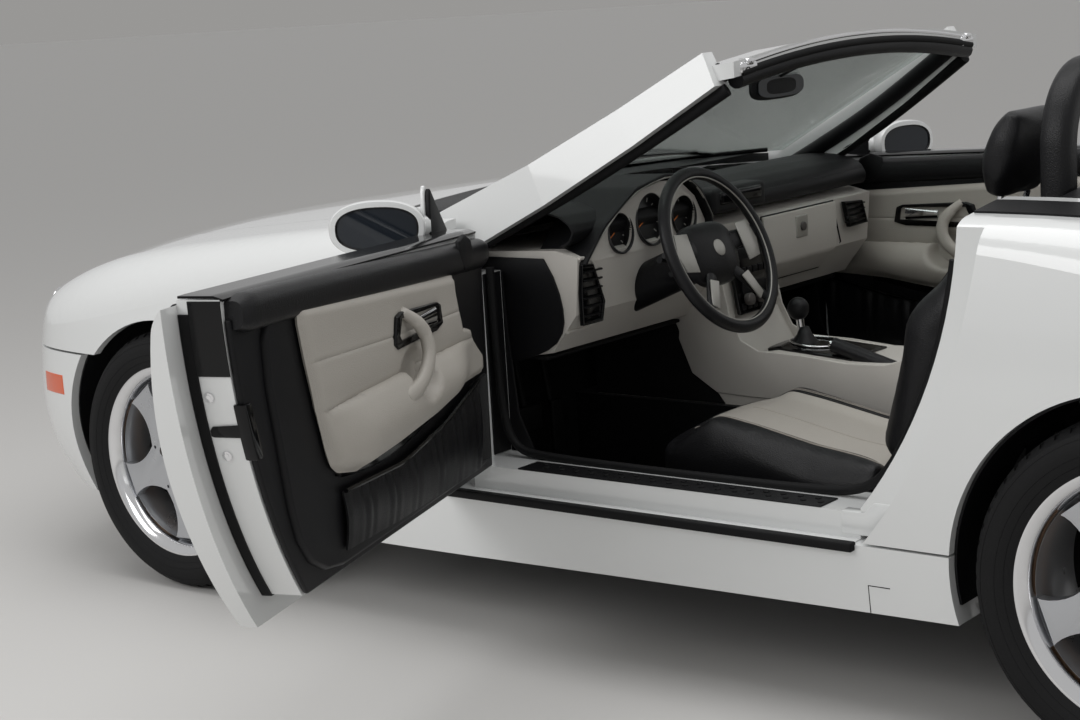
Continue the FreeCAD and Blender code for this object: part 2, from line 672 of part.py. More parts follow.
def quarter():
    """Rear quarter panel with the lock post that the door closes against."""
    top = 1010.0
    shell_zone = box(600.0, TAIL_X + 10.0, -FAR_Y, 0.0, SKIRT_TOP_Z + SHUT_GAP, top)
    piece = outer.cut(inner).common(shell_zone)
    wide = BOOT_LID_HALF_FRONT + SHUT_GAP
    boot_room = plan_prism(
        [(BOOT_LID_FRONT_X - 600.0, -wide), (BOOT_LID_FRONT_X, -wide),
         (TAIL_X + 20.0, -BOOT_LID_HALF_REAR - SHUT_GAP), (TAIL_X + 20.0, 100.0),
         (BOOT_LID_FRONT_X - 600.0, 100.0)], 0.0, top)
    piece = piece.cut(boot_room)
    bumper_room = box(REAR_AXLE_X + 280.0, TAIL_X + 20.0, -FAR_Y, 0.0, 0.0, PARTING_REAR_Z + SHUT_GAP / 2)
    lamp_room = box(TAIL_LAMP_FRONT_X - SHUT_GAP, TAIL_X + 20.0, -FAR_Y, 0.0, TAIL_LAMP_LOW_Z - SHUT_GAP,
                    TAIL_LAMP_HIGH_Z + SHUT_GAP)
    piece = piece.cut(bumper_room).cut(lamp_room)
    cx, cz, radius = circle_through(DOOR_REAR_LOW, DOOR_REAR_MID, DOOR_REAR_TOP)
    post = outer.common(box(600.0, LOCK_POST_REAR_X, -FAR_Y, -CABIN_HALF - 15.0, SILL_TOP_Z + 2.0,
                            DOOR_BELT_REAR_Z + 30.0))
    whole = fuse([piece, post])
    whole = whole.cut(door_room)
    front_cut = cylinder_y(cx, cz, radius - DOOR_STEP - 14.0, -FAR_Y, 0.0)
    whole = whole.cut(front_cut)
    whole = whole.cut(box(0.0, DOOR_REAR_LOW[0] - 18.0, -FAR_Y, 0.0, 0.0, top))
    return whole.cut(arches).cut(liner_room)


parts["quarter_panels"] = pair(quarter())


def boot_lid():
    """Boot lid that wraps down the tail between the lamps."""
    front = BOOT_LID_FRONT_X
    zone = plan_prism(
        [(front, -BOOT_LID_HALF_FRONT), (TAIL_X + 20.0, -BOOT_LID_HALF_REAR),
         (TAIL_X + 20.0, BOOT_LID_HALF_REAR), (front, BOOT_LID_HALF_FRONT)],
        PARTING_REAR_Z + SHUT_GAP, 1010.0)
    return outer.cut(inner).common(zone)


parts["boot_lid"] = boot_lid()
BOOT_HINGE_X = BOOT_LID_FRONT_X - BOOT_HINGE_BACK


def rear_bumper():
    """Bumper wrapped round the tail, with the plate's recess bolts left open."""
    zone = box(REAR_AXLE_X + 280.0 + SHUT_GAP, TAIL_X + 20.0, -FAR_Y, FAR_Y, 0.0,
               PARTING_REAR_Z - SHUT_GAP / 2)
    piece = outer.cut(body_solid(BUMPER_WALL)).common(zone)
    room = fuse([rear_arch, liner_room])
    piece = piece.cut(fuse([room, other_side(room)]))
    piece = piece.cut(box(REAR_AXLE_X, TAIL_X - 60.0, -HALF_WIDTH + 130.0, HALF_WIDTH - 130.0, 0.0, 420.0))
    for side in (-1.0, 1.0):
        hole = Part.makeCylinder(PLATE_BOLT_R, 80.0, V(TAIL_X - 60.0, side * PLATE_BOLT_SPAN / 2, PLATE_Z),
                                 V(1, 0, 0))
        piece = piece.cut(hole)
    return piece


parts["rear_bumper"] = rear_bumper()


def tail_lamp():
    """Solid lamp body in the rear corner."""
    zone = box(TAIL_LAMP_FRONT_X, TAIL_X + 20.0, -FAR_Y, -BOOT_LID_HALF_REAR - SHUT_GAP - 16.0,
               TAIL_LAMP_LOW_Z - SHUT_GAP + SEAT_GAP, TAIL_LAMP_HIGH_Z)
    return outer.common(zone).cut(body_solid(LAMP_DEPTH))


parts["tail_lamps"] = pair(tail_lamp())


def rear_deck():
    """Black shelf between the cabin and the boot lid, with the pins of the lid's hinges."""
    half = BOOT_LID_HALF_FRONT
    zone = box(BOOT_FRONT_X, BOOT_LID_FRONT_X - SHUT_GAP, -half, half, 850.0, 1010.0)
    shelf = outer.cut(inner).common(zone)
    apron = box(BOOT_FRONT_X, BOOT_FRONT_X + 12.0, -BOOT_HALF, BOOT_HALF, BOOT_RIM_Z + SEAT_GAP, 945.0)
    notch = box(BOOT_HINGE_X - 28.0, BOOT_LID_FRONT_X, -half - 1.0, -half + STRAP_NOTCH, 800.0, 1010.0)
    pin = cylinder_y(BOOT_HINGE_X, BOOT_HINGE_Z, STRAP_PIN_R, -half, -half + STRAP_NOTCH + 40.0)
    swing = box(BOOT_HINGE_X, BOOT_LID_FRONT_X, -FAR_Y, FAR_Y, BOOT_HINGE_Z, 1010.0)
    swing = swing.cut(cylinder_y(BOOT_HINGE_X, BOOT_HINGE_Z, BOOT_HINGE_BACK - SHUT_GAP, -FAR_Y, FAR_Y))
    shelf = shelf.cut(notch).cut(other_side(notch)).cut(swing)
    return fuse([shelf, apron, pin, other_side(pin)])


parts["rear_deck"] = rear_deck()
boot_strap = hinge_strap([
    (BOOT_HINGE_X, BOOT_HINGE_Z + 11.0), (BOOT_LID_FRONT_X + 8.0, BOOT_HINGE_Z - 2.0),
    (BOOT_LID_FRONT_X + 60.0, BOOT_HINGE_Z - 8.0), (BOOT_LID_FRONT_X + 60.0, BOOT_HINGE_Z - 26.0),
    (BOOT_HINGE_X + 4.0, BOOT_HINGE_Z - 11.0),
], (BOOT_HINGE_X, BOOT_HINGE_Z), BOOT_LID_HALF_FRONT - 20.0)
parts["boot_lid"] = fuse([parts["boot_lid"], boot_strap, other_side(boot_strap)])


def boot_tub():
    """Open boot: floor, side walls and tail wall."""
    wall = 12.0
    x0 = BOOT_FRONT_X
    x1 = TAIL_X - 130.0
    half = BOOT_HALF
    tub = box(x0, x1, -half, half, BOOT_FLOOR_Z, BOOT_RIM_Z)
    tub = tub.cut(box(x0 + wall, x1 - wall, -half + wall, half - wall, BOOT_FLOOR_Z + wall,
                      BOOT_RIM_Z + 50.0))
    horn = box(x1, TAIL_X, -330.0, -290.0, 420.0, 500.0).common(body_solid(BUMPER_WALL + PIN_GAP))
    return fuse([tub, horn, other_side(horn)])


parts["boot_tub"] = boot_tub()


def arch_liner(x, z, radius, inner_y, outer_y):
    """Half-round liner over a wheel."""
    big = cylinder_y(x, z, radius + ARCH_LINER_WALL, -outer_y, -inner_y)
    small = cylinder_y(x, z, radius, -outer_y - 5.0, -inner_y + 5.0)
    low = box(x - 500.0, x + 500.0, -FAR_Y, 0.0, -100.0, z - 60.0)
    return big.cut(small).cut(low)


liners = [
    arch_liner(FRONT_AXLE_X, FRONT_AXLE_Z, FRONT_LINER_R, WELL_WALL_Y, LINER_OUTER_Y),
    arch_liner(REAR_AXLE_X, REAR_ARCH_Z, REAR_LINER_R, REAR_WELL_Y, LINER_OUTER_Y),
]
body_shell = outer.cut(inner)
liners = [liner.common(outer).cut(body_shell) for liner in liners]
parts["arch_liners"] = Part.makeCompound(liners + [other_side(liner) for liner in liners])


PAN_SIDE_Y = SILL_INNER_Y - SEAT_GAP
PAN_LOW_Z = FLOOR_Z - FLOOR_WALL


def floor_pan():
    """Floor plates on both sides of the hollow tunnel."""
    t = FLOOR_WALL
    x0 = FIREWALL_X + SEAT_GAP
    x1 = REAR_WALL_X - SEAT_GAP
    side = PAN_SIDE_Y - t - SEAT_GAP
    floor = box(x0, x1, -side, side, PAN_LOW_Z, FLOOR_Z)
    tunnel = box(x0, x1, -TUNNEL_HALF, TUNNEL_HALF, FLOOR_Z, TUNNEL_TOP_Z)
    hollow = box(x0 - 1.0, x1 + 1.0, -TUNNEL_HALF + t, TUNNEL_HALF - t, 0.0, TUNNEL_TOP_Z - t)
    return fuse([floor, tunnel]).cut(hollow)


def firewall():
    """Bulkhead ahead of the cabin with the front wells and the horns that carry the bumper."""
    t = FLOOR_WALL
    x0 = FIREWALL_X
    wall = box(x0 - t, x0, -CABIN_HALF, CABIN_HALF, PAN_LOW_Z, FIREWALL_TOP_Z)
    wall = wall.cut(box(x0 - t - 1.0, x0 + 1.0, -TUNNEL_HALF + t, TUNNEL_HALF - t, 0.0, TUNNEL_TOP_Z - t))
    well_y = -WELL_WALL_Y + SEAT_GAP
    wells = box(FRONT_AXLE_X - 560.0, x0, well_y, well_y + t, 330.0, 640.0)
    z0 = UPPER_BALL_Z - 30.0
    wells = wells.cut(box(FRONT_AXLE_X - 120.0, FRONT_AXLE_X + 120.0, -FAR_Y, 0.0, z0, z0 + 60.0))
    horn = box(NOSE_X, FRONT_AXLE_X - 550.0, well_y, well_y + t, 380.0, 500.0)
    horn = horn.common(body_solid(BUMPER_WALL + PIN_GAP))
    one_side = fuse([wells, horn])
    return fuse([wall, one_side, other_side(one_side)]).cut(wheel_room).cut(other_side(wheel_room))


def rear_bulkhead():
    """Wall behind the seats with the rails that carry the boot."""
    t = FLOOR_WALL
    rear = box(REAR_WALL_X, REAR_WALL_X + t, -PAN_SIDE_Y, PAN_SIDE_Y, PAN_LOW_Z, REAR_WALL_TOP_Z)
    rear = rear.cut(box(REAR_WALL_X - 1.0, REAR_WALL_X + t + 1.0, -TUNNEL_HALF + t, TUNNEL_HALF - t, 0.0,
                        TUNNEL_TOP_Z - t))
    rail_y = -BOOT_HALF - SEAT_GAP
    rail = box(REAR_WALL_X, TAIL_X - 180.0, rail_y - t, rail_y, BOOT_FLOOR_Z, BOOT_FLOOR_Z + 70.0)
    return fuse([rear, rail, other_side(rail)]).cut(wheel_room).cut(other_side(wheel_room))


def side_wall():
    """Low inner wall between the floor and the sill."""
    y0 = -PAN_SIDE_Y
    x0 = FIREWALL_X + SEAT_GAP
    wall = box(x0, REAR_WALL_X - SEAT_GAP, y0, y0 + FLOOR_WALL, PAN_LOW_Z, SILL_TOP_Z - 4.0)
    return wall.cut(wheel_room)


wheel_room = fuse([rear_arch, liner_room])
parts["floor_pan"] = floor_pan()
parts["firewall"] = firewall()
parts["rear_bulkhead"] = rear_bulkhead()
parts["side_walls"] = pair(side_wall())
parts["hinge_posts"] = pair(hinge_post())


def engine_block():
    """Engine and gearbox as one plain block each."""
    x0 = ENGINE_FRONT_X
    x1 = x0 + ENGINE_LENGTH
    block = box(x0, x1, -ENGINE_WIDTH / 2, ENGINE_WIDTH / 2, ENGINE_LOW_Z, ENGINE_LOW_Z + ENGINE_HEIGHT)
    return block


parts["engine_block"] = engine_block()


def driveline():
    """Gearbox and propeller shaft through the open tunnel."""
    x0 = ENGINE_FRONT_X + ENGINE_LENGTH
    box_end = FIREWALL_X + 330.0
    z = FLOOR_Z + 70.0
    gearbox = box(x0, box_end, -85.0, 85.0, z - 60.0, z + 85.0)
    shaft = cylinder_x(box_end, REAR_AXLE_X - CROSS_BEAM_BACK - PIN_GAP, 0.0, z, 32.0)
    return fuse([gearbox, shaft])


def cylinder_x(x0, x1, y, z, radius):
    """Cylinder along the car."""
    return Part.makeCylinder(radius, x1 - x0, V(x0, y, z), V(1, 0, 0))


parts["driveline"] = driveline()


def kingpin(z):
    """Point of the left wheel's steering axis at a height. It leans inboard as it rises."""
    lean = math.tan(math.radians(KINGPIN_LEAN_DEG))
    return V(FRONT_AXLE_X, -BALL_Y + (z - BALL_Z) * lean, z)


def front_subframe():
    """Cross beams, lower arms to the ball joints and the anti-roll bar of the front axle."""
    x = FRONT_AXLE_X
    z = SUBFRAME_Z
    beam = box(x - 190.0, x + 190.0, -230.0, 230.0, z - 20.0, z + 50.0)
    rails = box(x - 380.0, FIREWALL_X - FLOOR_WALL, -420.0, -350.0, z + 40.0, z + 125.0)
    ties = box(x - 60.0, x + 60.0, -400.0, -200.0, z, z + 50.0)
    pieces = [rails, ties]
    feet = {
        BALL_Z: ((0.0, -300.0, 14.0), (180.0, -370.0, 60.0)),
        UPPER_BALL_Z: ((-90.0, -435.0, 0.0), (90.0, -435.0, 0.0)),
    }
    cavities = []
    for ball_z, starts in feet.items():
        ball = kingpin(ball_z)
        low_z = ball.z - BALL_R - 6.0 if ball_z == BALL_Z else ball.z + 2.0
        pieces.append(Part.makeCylinder(CUP_R, BALL_R + 4.0, V(ball.x, ball.y, low_z)))
        for dx, y, dz in starts:
            pieces.append(tube((x + dx, y, ball_z + dz), (x + dx * 0.08, ball.y + 10.0, low_z + 7.0), 7.0))
        cavities.append(Part.makeSphere(BALL_R + PIN_GAP, ball))
    tower = box(x - 110.0, x + 110.0, -WELL_WALL_Y + 20.0, -415.0, z + 60.0, UPPER_BALL_Z + 16.0)
    pieces.append(tower)
    one_side = fuse(pieces)
    for cavity in cavities:
        one_side = one_side.cut(cavity)
    return fuse([beam, one_side, other_side(one_side)])


parts["front_subframe"] = front_subframe()


def rear_axle():
    """Rear subframe, differential, half shafts, links and hub carriers."""
    x = REAR_AXLE_X
    z = REAR_AXLE_Z
    carrier_y = REAR_TRACK / 2 - 58.0
    diff = box(x - 108.0, x + 130.0, -110.0, 110.0, z - 100.0, z + 60.0)
    cross = box(x - CROSS_BEAM_BACK, x - 108.0, -470.0, 470.0, z - 60.0, z + 20.0)
    bush = box(x - CROSS_BEAM_BACK, x - 108.0, -470.0, -458.0, z, BOOT_FLOOR_Z - SEAT_GAP)
    shaft = cylinder_y(x, z, AXLE_TUBE_R, -carrier_y, -110.0)
    carrier = box(x - 70.0, x + 70.0, -carrier_y - 10.0, -carrier_y + 26.0, z - 105.0, z + 105.0)
    lower = tube((x - 128.0, -400.0, z - 40.0), (x, -carrier_y + 10.0, z - 80.0), 15.0)
    upper = tube((x + 20.0, -105.0, z + 30.0), (x + 10.0, -carrier_y + 10.0, z + 80.0), 12.0)
    disc_inner = -REAR_TRACK / 2 - REAR_TYRE_W / 2 + RIM_INSET + DISC_INSET + DISC_THICK
    bearing = cylinder_y(x, z, 48.0, disc_inner + SEAT_GAP, -carrier_y)
    one_side = fuse([shaft, carrier, lower, upper, bush, bearing])
    return fuse([diff, cross, one_side, other_side(one_side)])


parts["rear_axle"] = rear_axle()


def exhaust():
    """Pipe beside the tunnel and a silencer across the tail, with two tips."""
    z = FLOOR_Z - FLOOR_WALL - 24.5
    pipe = bent_tube([
        (ENGINE_FRONT_X + 470.0, 180.0, z), (0.0, 180.0, z), (760.0, 210.0, z), (900.0, 330.0, z),
        (REAR_AXLE_X + 60.0, 330.0, z - 2.0), (REAR_AXLE_X + 330.0, 380.0, z + 70.0),
    ], 24.0)
    can = box(REAR_AXLE_X + 320.0, TAIL_X - 210.0, 250.0, 515.0, z + 28.0, z + 150.0)
    tips = [tube((TAIL_X - 215.0, y, z + 60.0), (TAIL_X - 90.0, y, z + 60.0), 26.0) for y in (410.0, 480.0)]
    return fuse([pipe, can] + tips)


parts["exhaust"] = exhaust()


def dash_upper():
    """Soft top of the dash with the hood over the instruments."""
    top = DASH_TOP_Z
    face = DASH_FACE_X
    pad = side_prism([
        (FIREWALL_X + SEAT_GAP, top - 70.0), (COWL_REAR_X + 10.0, top - 4.0), (face - 140.0, top + 18.0),
        (face - 20.0, top), (face, top - 24.0), (face - 40.0, top - 60.0),
    ], -DASH_HALF, DASH_HALF)
    wheel_y = WHEEL_CENTRE[1]
    hood = side_prism([
        (face - 210.0, top), (face - 150.0, top + 44.0), (face - 60.0, top + 50.0), (face - 52.0, top + 38.0),
        (face - 120.0, top - 30.0),
    ], wheel_y - 150.0, wheel_y + 150.0)
    return fuse([pad, hood])


def dash_lower():
    """Lower dash: instrument face, vents, glovebox and centre stack as one pale body."""
    top = DASH_TOP_Z
    face = DASH_FACE_X
    low = side_prism([
        (FIREWALL_X + 40.0, top - 74.0), (face - 44.0, top - 64.0), (face + 14.0, top - 78.0),
        (face + 2.0, top - 200.0), (face - 66.0, top - 285.0), (face - 160.0, top - 300.0),
        (FIREWALL_X + 60.0, top - 260.0),
    ], -DASH_HALF, DASH_HALF)
    stack = side_prism([
        (FIREWALL_X + 60.0, top - 90.0), (face + 10.0, top - 100.0), (face + 40.0, top - 290.0),
        (face + 120.0, TUNNEL_TOP_Z + 60.0), (face + 120.0, TUNNEL_TOP_Z + 1.0),
        (FIREWALL_X + 60.0, TUNNEL_TOP_Z + 1.0),
    ], -CONSOLE_HALF, CONSOLE_HALF)
    return fuse([low, stack])


upper_dash = dash_upper().cut(frame)
parts["dash_upper"] = upper_dash
parts["dash_lower"] = dash_lower().cut(upper_dash).cut(frame)


def steering_axis():
    """Direction of the steering column, towards the driver."""
    tilt = math.radians(STEERING_TILT_DEG)
    return V(math.cos(tilt), 0.0, math.sin(tilt))


def steering_wheel():
    """Rim, four spokes and pad, made flat and turned to the column."""
    rim = Part.makeTorus(STEERING_WHEEL_R - STEERING_RIM_R, STEERING_RIM_R, V(0, 0, 0), V(1, 0, 0))
    hub = rounded(box(-STEERING_HUB_DEPTH, 2.0, -78.0, 78.0, -62.0, 62.0), 12.0)
    spokes = []
    for side in (-1.0, 1.0):
        for angle in (8.0, -52.0):
            a = math.radians(angle)
            reach = STEERING_WHEEL_R - STEERING_RIM_R
            tip = V(-10.0, side * reach * math.cos(a), reach * math.sin(a))
            root = V(-20.0, side * 50.0 * math.cos(a), 50.0 * math.sin(a))
            spokes.append(tube((root.x, root.y, root.z), (tip.x, tip.y, tip.z), 9.0))
    wheel = fuse([rim, hub] + spokes)
    wheel.rotate(V(0, 0, 0), V(0, 1, 0), -STEERING_TILT_DEG)
    wheel.translate(V(*WHEEL_CENTRE))
    return wheel


parts["steering_wheel"] = steering_wheel()


def steering_column():
    """Column shroud with the stalks, from the dash to just behind the wheel."""
    axis = steering_axis()
    centre = V(*WHEEL_CENTRE)
    end = centre - axis * (STEERING_HUB_DEPTH + SEAT_GAP)
    start = centre - axis * 330.0
    shroud = tube((start.x, start.y, start.z), (end.x, end.y, end.z), 46.0)
    stalks = []
    for side in (-1.0, 1.0):
        base = end - axis * 30.0
        stalks.append(tube((base.x, base.y, base.z), (base.x, base.y + side * 125.0, base.z + 22.0), 7.0))
    return fuse([shroud] + stalks)


parts["steering_column"] = steering_column().cut(parts["dash_lower"]).cut(upper_dash)


def centre_console():
    """Console along the tunnel with the shift gate, armrest, shift lever and hand brake."""
    z = TUNNEL_TOP_Z + SEAT_GAP
    x0 = DASH_FACE_X + 120.0 + SEAT_GAP
    body = side_prism([
        (x0, z), (x0, z + 125.0), (x0 + 40.0, z + 132.0), (x0 + 230.0, z + 118.0), (x0 + 330.0, z + 120.0),
        (x0 + 440.0, z + 160.0), (REAR_WALL_X - 30.0, z + 170.0), (REAR_WALL_X - 30.0, z),
    ], -CONSOLE_HALF, CONSOLE_HALF)
    lever = bent_tube([(x0 + 60.0, 0.0, z + 110.0), (x0 + 48.0, 0.0, z + 205.0)], 9.0)
    knob = Part.makeSphere(24.0, V(x0 + 46.0, 0.0, z + 215.0))
    brake = bent_tube([(x0 + 330.0, -70.0, z + 105.0), (x0 + 190.0, -70.0, z + 146.0)], 15.0)
    return fuse([body, lever, knob, brake])


parts["centre_console"] = centre_console()


def seat_cushion():
    """Seat cushion, plain but to size."""
    top = SEAT_TOP_Z
    outline = side_prism([
        (SEAT_FRONT_X, SEAT_BASE_Z + 70.0), (SEAT_FRONT_X, top - 72.0), (SEAT_FRONT_X + 80.0, top - 10.0),
        (SEAT_FRONT_X + 180.0, top + 16.0), (SEAT_FRONT_X + 430.0, top - 6.0), (SEAT_REAR_X, top - 20.0),
        (SEAT_REAR_X, SEAT_BASE_Z),
        (SEAT_FRONT_X + 60.0, SEAT_BASE_Z),
    ], -SEAT_Y - SEAT_HALF, -SEAT_Y + SEAT_HALF)
    rails = [box(SEAT_FRONT_X + 80.0, SEAT_REAR_X - 40.0, -SEAT_Y + y - 15.0, -SEAT_Y + y + 15.0,
                 FLOOR_Z + PIN_GAP, SEAT_BASE_Z) for y in (-165.0, 165.0)]
    return fuse([outline] + rails)


parts["seat_cushions"] = pair(seat_cushion())


def leaned(points):
    """Side-view points given along and across the seat back, placed on the car."""
    lean = math.radians(BACK_LEAN_DEG)
    foot = (SEAT_REAR_X + 6.0, SEAT_TOP_Z - 60.0)
    return [(foot[0] + along * math.sin(lean) + across * math.cos(lean),
             foot[1] + along * math.cos(lean) - across * math.sin(lean)) for along, across in points]


def seat_back():
    """Seat back, leaning rearwards."""
    outline = leaned([
        (40.0, 0.0), (160.0, -6.0), (420.0, 0.0), (BACK_LENGTH, 34.0), (BACK_LENGTH, BACK_THICK - 20.0),
        (300.0, BACK_THICK), (0.0, BACK_THICK), (0.0, 30.0),
    ])
    back = side_prism(outline, -SEAT_Y - SEAT_HALF, -SEAT_Y + SEAT_HALF)
    heel = box(SEAT_REAR_X + SEAT_GAP, SEAT_REAR_X + 70.0, -SEAT_Y - SEAT_HALF, -SEAT_Y + SEAT_HALF,
               SEAT_TOP_Z - 90.0, SEAT_TOP_Z - 45.0)
    return fuse([back, heel])


parts["seat_backs"] = pair(seat_back())


def head_restraint():
    """Padded head restraint just above the seat back, on two posts."""
    low = BACK_LENGTH + 14.0
    high = low + RESTRAINT_HEIGHT
    outline = leaned([
        (low + 30.0, -2.0), (low + 90.0, -8.0), (high - 30.0, 6.0), (high, 34.0), (high, 60.0),
        (high - 30.0, RESTRAINT_THICK - 4.0), (low + 20.0, RESTRAINT_THICK - 4.0), (low, 60.0), (low, 20.0),
    ])
    pad = side_prism(outline, -SEAT_Y - RESTRAINT_HALF, -SEAT_Y + RESTRAINT_HALF)
    ends = leaned([(BACK_LENGTH + 0.3, 50.0), (low + 30.0, 50.0)])
    posts = [tube((ends[0][0], -SEAT_Y + y, ends[0][1]), (ends[1][0], -SEAT_Y + y, ends[1][1]), 6.0)
             for y in (-60.0, 60.0)]
    return fuse([pad] + posts)


parts["head_restraints"] = pair(head_restraint())


def roll_hoop():
    """Padded roll hoop behind a seat, standing on the rear wall."""
    x0 = HOOP_X
    x1 = HOOP_X + HOOP_THICK
    low = REAR_WALL_TOP_Z + 30.0
    half = HOOP_HALF
    body = box(x0, x1, -SEAT_Y - half, -SEAT_Y + half, low, HOOP_TOP_Z - half)
    crown = Part.makeCylinder(half, HOOP_THICK, V(x0, -SEAT_Y, HOOP_TOP_Z - half), V(1, 0, 0))
    crown = crown.common(box(x0, x1, -FAR_Y, 0.0, HOOP_TOP_Z - half, HOOP_TOP_Z + 10.0))
    hole = Part.makeCylinder(half - HOOP_TUBE, HOOP_THICK, V(x0, -SEAT_Y, HOOP_TOP_Z - half), V(1, 0, 0))
    slot = box(x0, x1, -SEAT_Y - half + HOOP_TUBE, -SEAT_Y + half - HOOP_TUBE, low + 8.0, HOOP_TOP_Z - half)
    hoop = fuse([body, crown]).cut(hole).cut(slot)
    foot = box(REAR_WALL_X, REAR_WALL_X + FLOOR_WALL, -SEAT_Y - half + 20.0, -SEAT_Y + half - 20.0,
               REAR_WALL_TOP_Z + 0.3, low)
    return fuse([hoop, foot])


parts["roll_hoops"] = pair(roll_hoop())


def door(open_it):
    """Left door closed: outer shell with its step, inner card with armrest, and mirror."""
    flange = outer.common(door_outline(0.0, 0.0, -FAR_Y, -DOOR_FLANGE_Y))
    case = door_outline(DOOR_STEP, 0.0, -DOOR_FLANGE_Y, -DOOR_INNER_Y)
    shell = fuse([flange, case])
    pins = []
    for z in HINGE_HEIGHTS:
        centre = on_hinge(z)
        reach = HINGE_EYE_R + HINGE_POCKET_SPARE
        shell = shell.cut(box(DOOR_FRONT_X - 5.0, centre.x + reach + SHUT_GAP, centre.y - reach,
                              -DOOR_INNER_Y + 5.0, z - HINGE_POCKET_HALF, z + HINGE_POCKET_HALF))
        pins.append(hinge_bar(HINGE_PIN_R, z - HINGE_POCKET_HALF - 2.0, z + HINGE_POCKET_HALF + 2.0))
    shell = fuse([shell] + pins)
    card = door_outline(DOOR_STEP + 52.0, -6.0, -DOOR_INNER_Y + 0.3, -DOOR_INNER_Y + 0.3 + DOOR_TRIM_THICK)
    cabin_face = -DOOR_INNER_Y + DOOR_TRIM_THICK
    rest = side_prism([
        (-110.0, 690.0), (-80.0, 640.0), (260.0, 590.0), (480.0, 600.0), (560.0, 650.0), (420.0, 660.0),
        (200.0, 670.0),
    ], cabin_face, cabin_face + ARMREST_DEPTH)
    card = fuse([card, rest])
    sail = side_prism([
        (-284.0, DOOR_BELT_FRONT_Z + 2.0), (-180.0, DOOR_BELT_FRONT_Z + 5.0), (-184.0, 985.0),
        (-192.0, 1000.0),
    ], -796.0, -776.0)
    arm = tube((-204.0, -790.0, 922.0), (-150.0, -850.0, 920.0), 20.0)
    head = Part.makeSphere(58.0)
    stretch = FreeCAD.Matrix()
    stretch.scale(V(0.95, 1.72, 1.0))
    head = head.transformGeometry(stretch)
    head.rotate(V(0, 0, 0), V(0, 0, 1), MIRROR_TURN_DEG)
    head.translate(V(*MIRROR_CENTRE))
    tool = box(20.0, 300.0, -400.0, 400.0, -200.0, 200.0)
    tool.rotate(V(0, 0, 0), V(0, 0, 1), MIRROR_TURN_DEG)
    tool.translate(V(*MIRROR_CENTRE))
    mirror = fuse([head.cut(tool), arm, sail]).cut(shell)
    pieces = [shell, card, mirror]
    if open_it:
        for piece in pieces:
            piece.rotate(on_hinge(DOOR_HINGE_Z), HINGE_DIRECTION, -DOOR_OPEN_DEG)
    return pieces


for piece, name in zip(door(True), ("door_shell_left", "door_trim_left", "door_mirror_left")):
    parts[name] = piece
for piece, name in zip(door(False), ("door_shell_right", "door_trim_right", "door_mirror_right")):
    parts[name] = other_side(piece)


def ring_y(points):
    """Closed outline given as radius and place along the axle, spun round the width axis."""
    corners = [V(r, y, 0) for r, y in points]
    face = Part.Face(Part.makePolygon(corners + corners[:1]))
    return face.revolve(V(0, 0, 0), V(0, 1, 0), 360)


def tyre(radius, width):
    """Tyre with rounded shoulders and slightly bulged sides, centred on its own axle."""
    half = width / 2
    bead = half - RIM_INSET
    c = TREAD_CORNER_R
    mid = (radius + BEAD_R) / 2
    flat = half - 9.0 - c
    edges = [
        Part.LineSegment(V(BEAD_R, -bead, 0), V(BEAD_R, bead, 0)),
        Part.Arc(V(BEAD_R, bead, 0), V(mid, half, 0), V(radius - c, half - 9.0, 0)),
        Part.Arc(V(radius - c, half - 9.0, 0), V(radius - c * 0.22, half - 17.0, 0), V(radius, flat, 0)),
        Part.LineSegment(V(radius, flat, 0), V(radius, -flat, 0)),
        Part.Arc(V(radius, -flat, 0), V(radius - c * 0.22, -half + 17.0, 0), V(radius - c, -half + 9.0, 0)),
        Part.Arc(V(radius - c, -half + 9.0, 0), V(mid, -half, 0), V(BEAD_R, -bead, 0)),
    ]
    face = Part.Face(Part.Wire([e.toShape() for e in edges]))
    ring_shape = face.revolve(V(0, 0, 0), V(0, 1, 0), 360)
    lip = ring_y([(RIM_FLANGE_R + 1.0, half), (BEAD_R - 5.0, half), (BEAD_R - 5.0, bead - 16.0),
                  (RIM_FLANGE_R + 1.0, bead - 16.0)])
    ring_shape = ring_shape.cut(lip)
    twin = lip.mirror(V(0, 0, 0), V(0, 1, 0))
    return ring_shape.cut(twin)


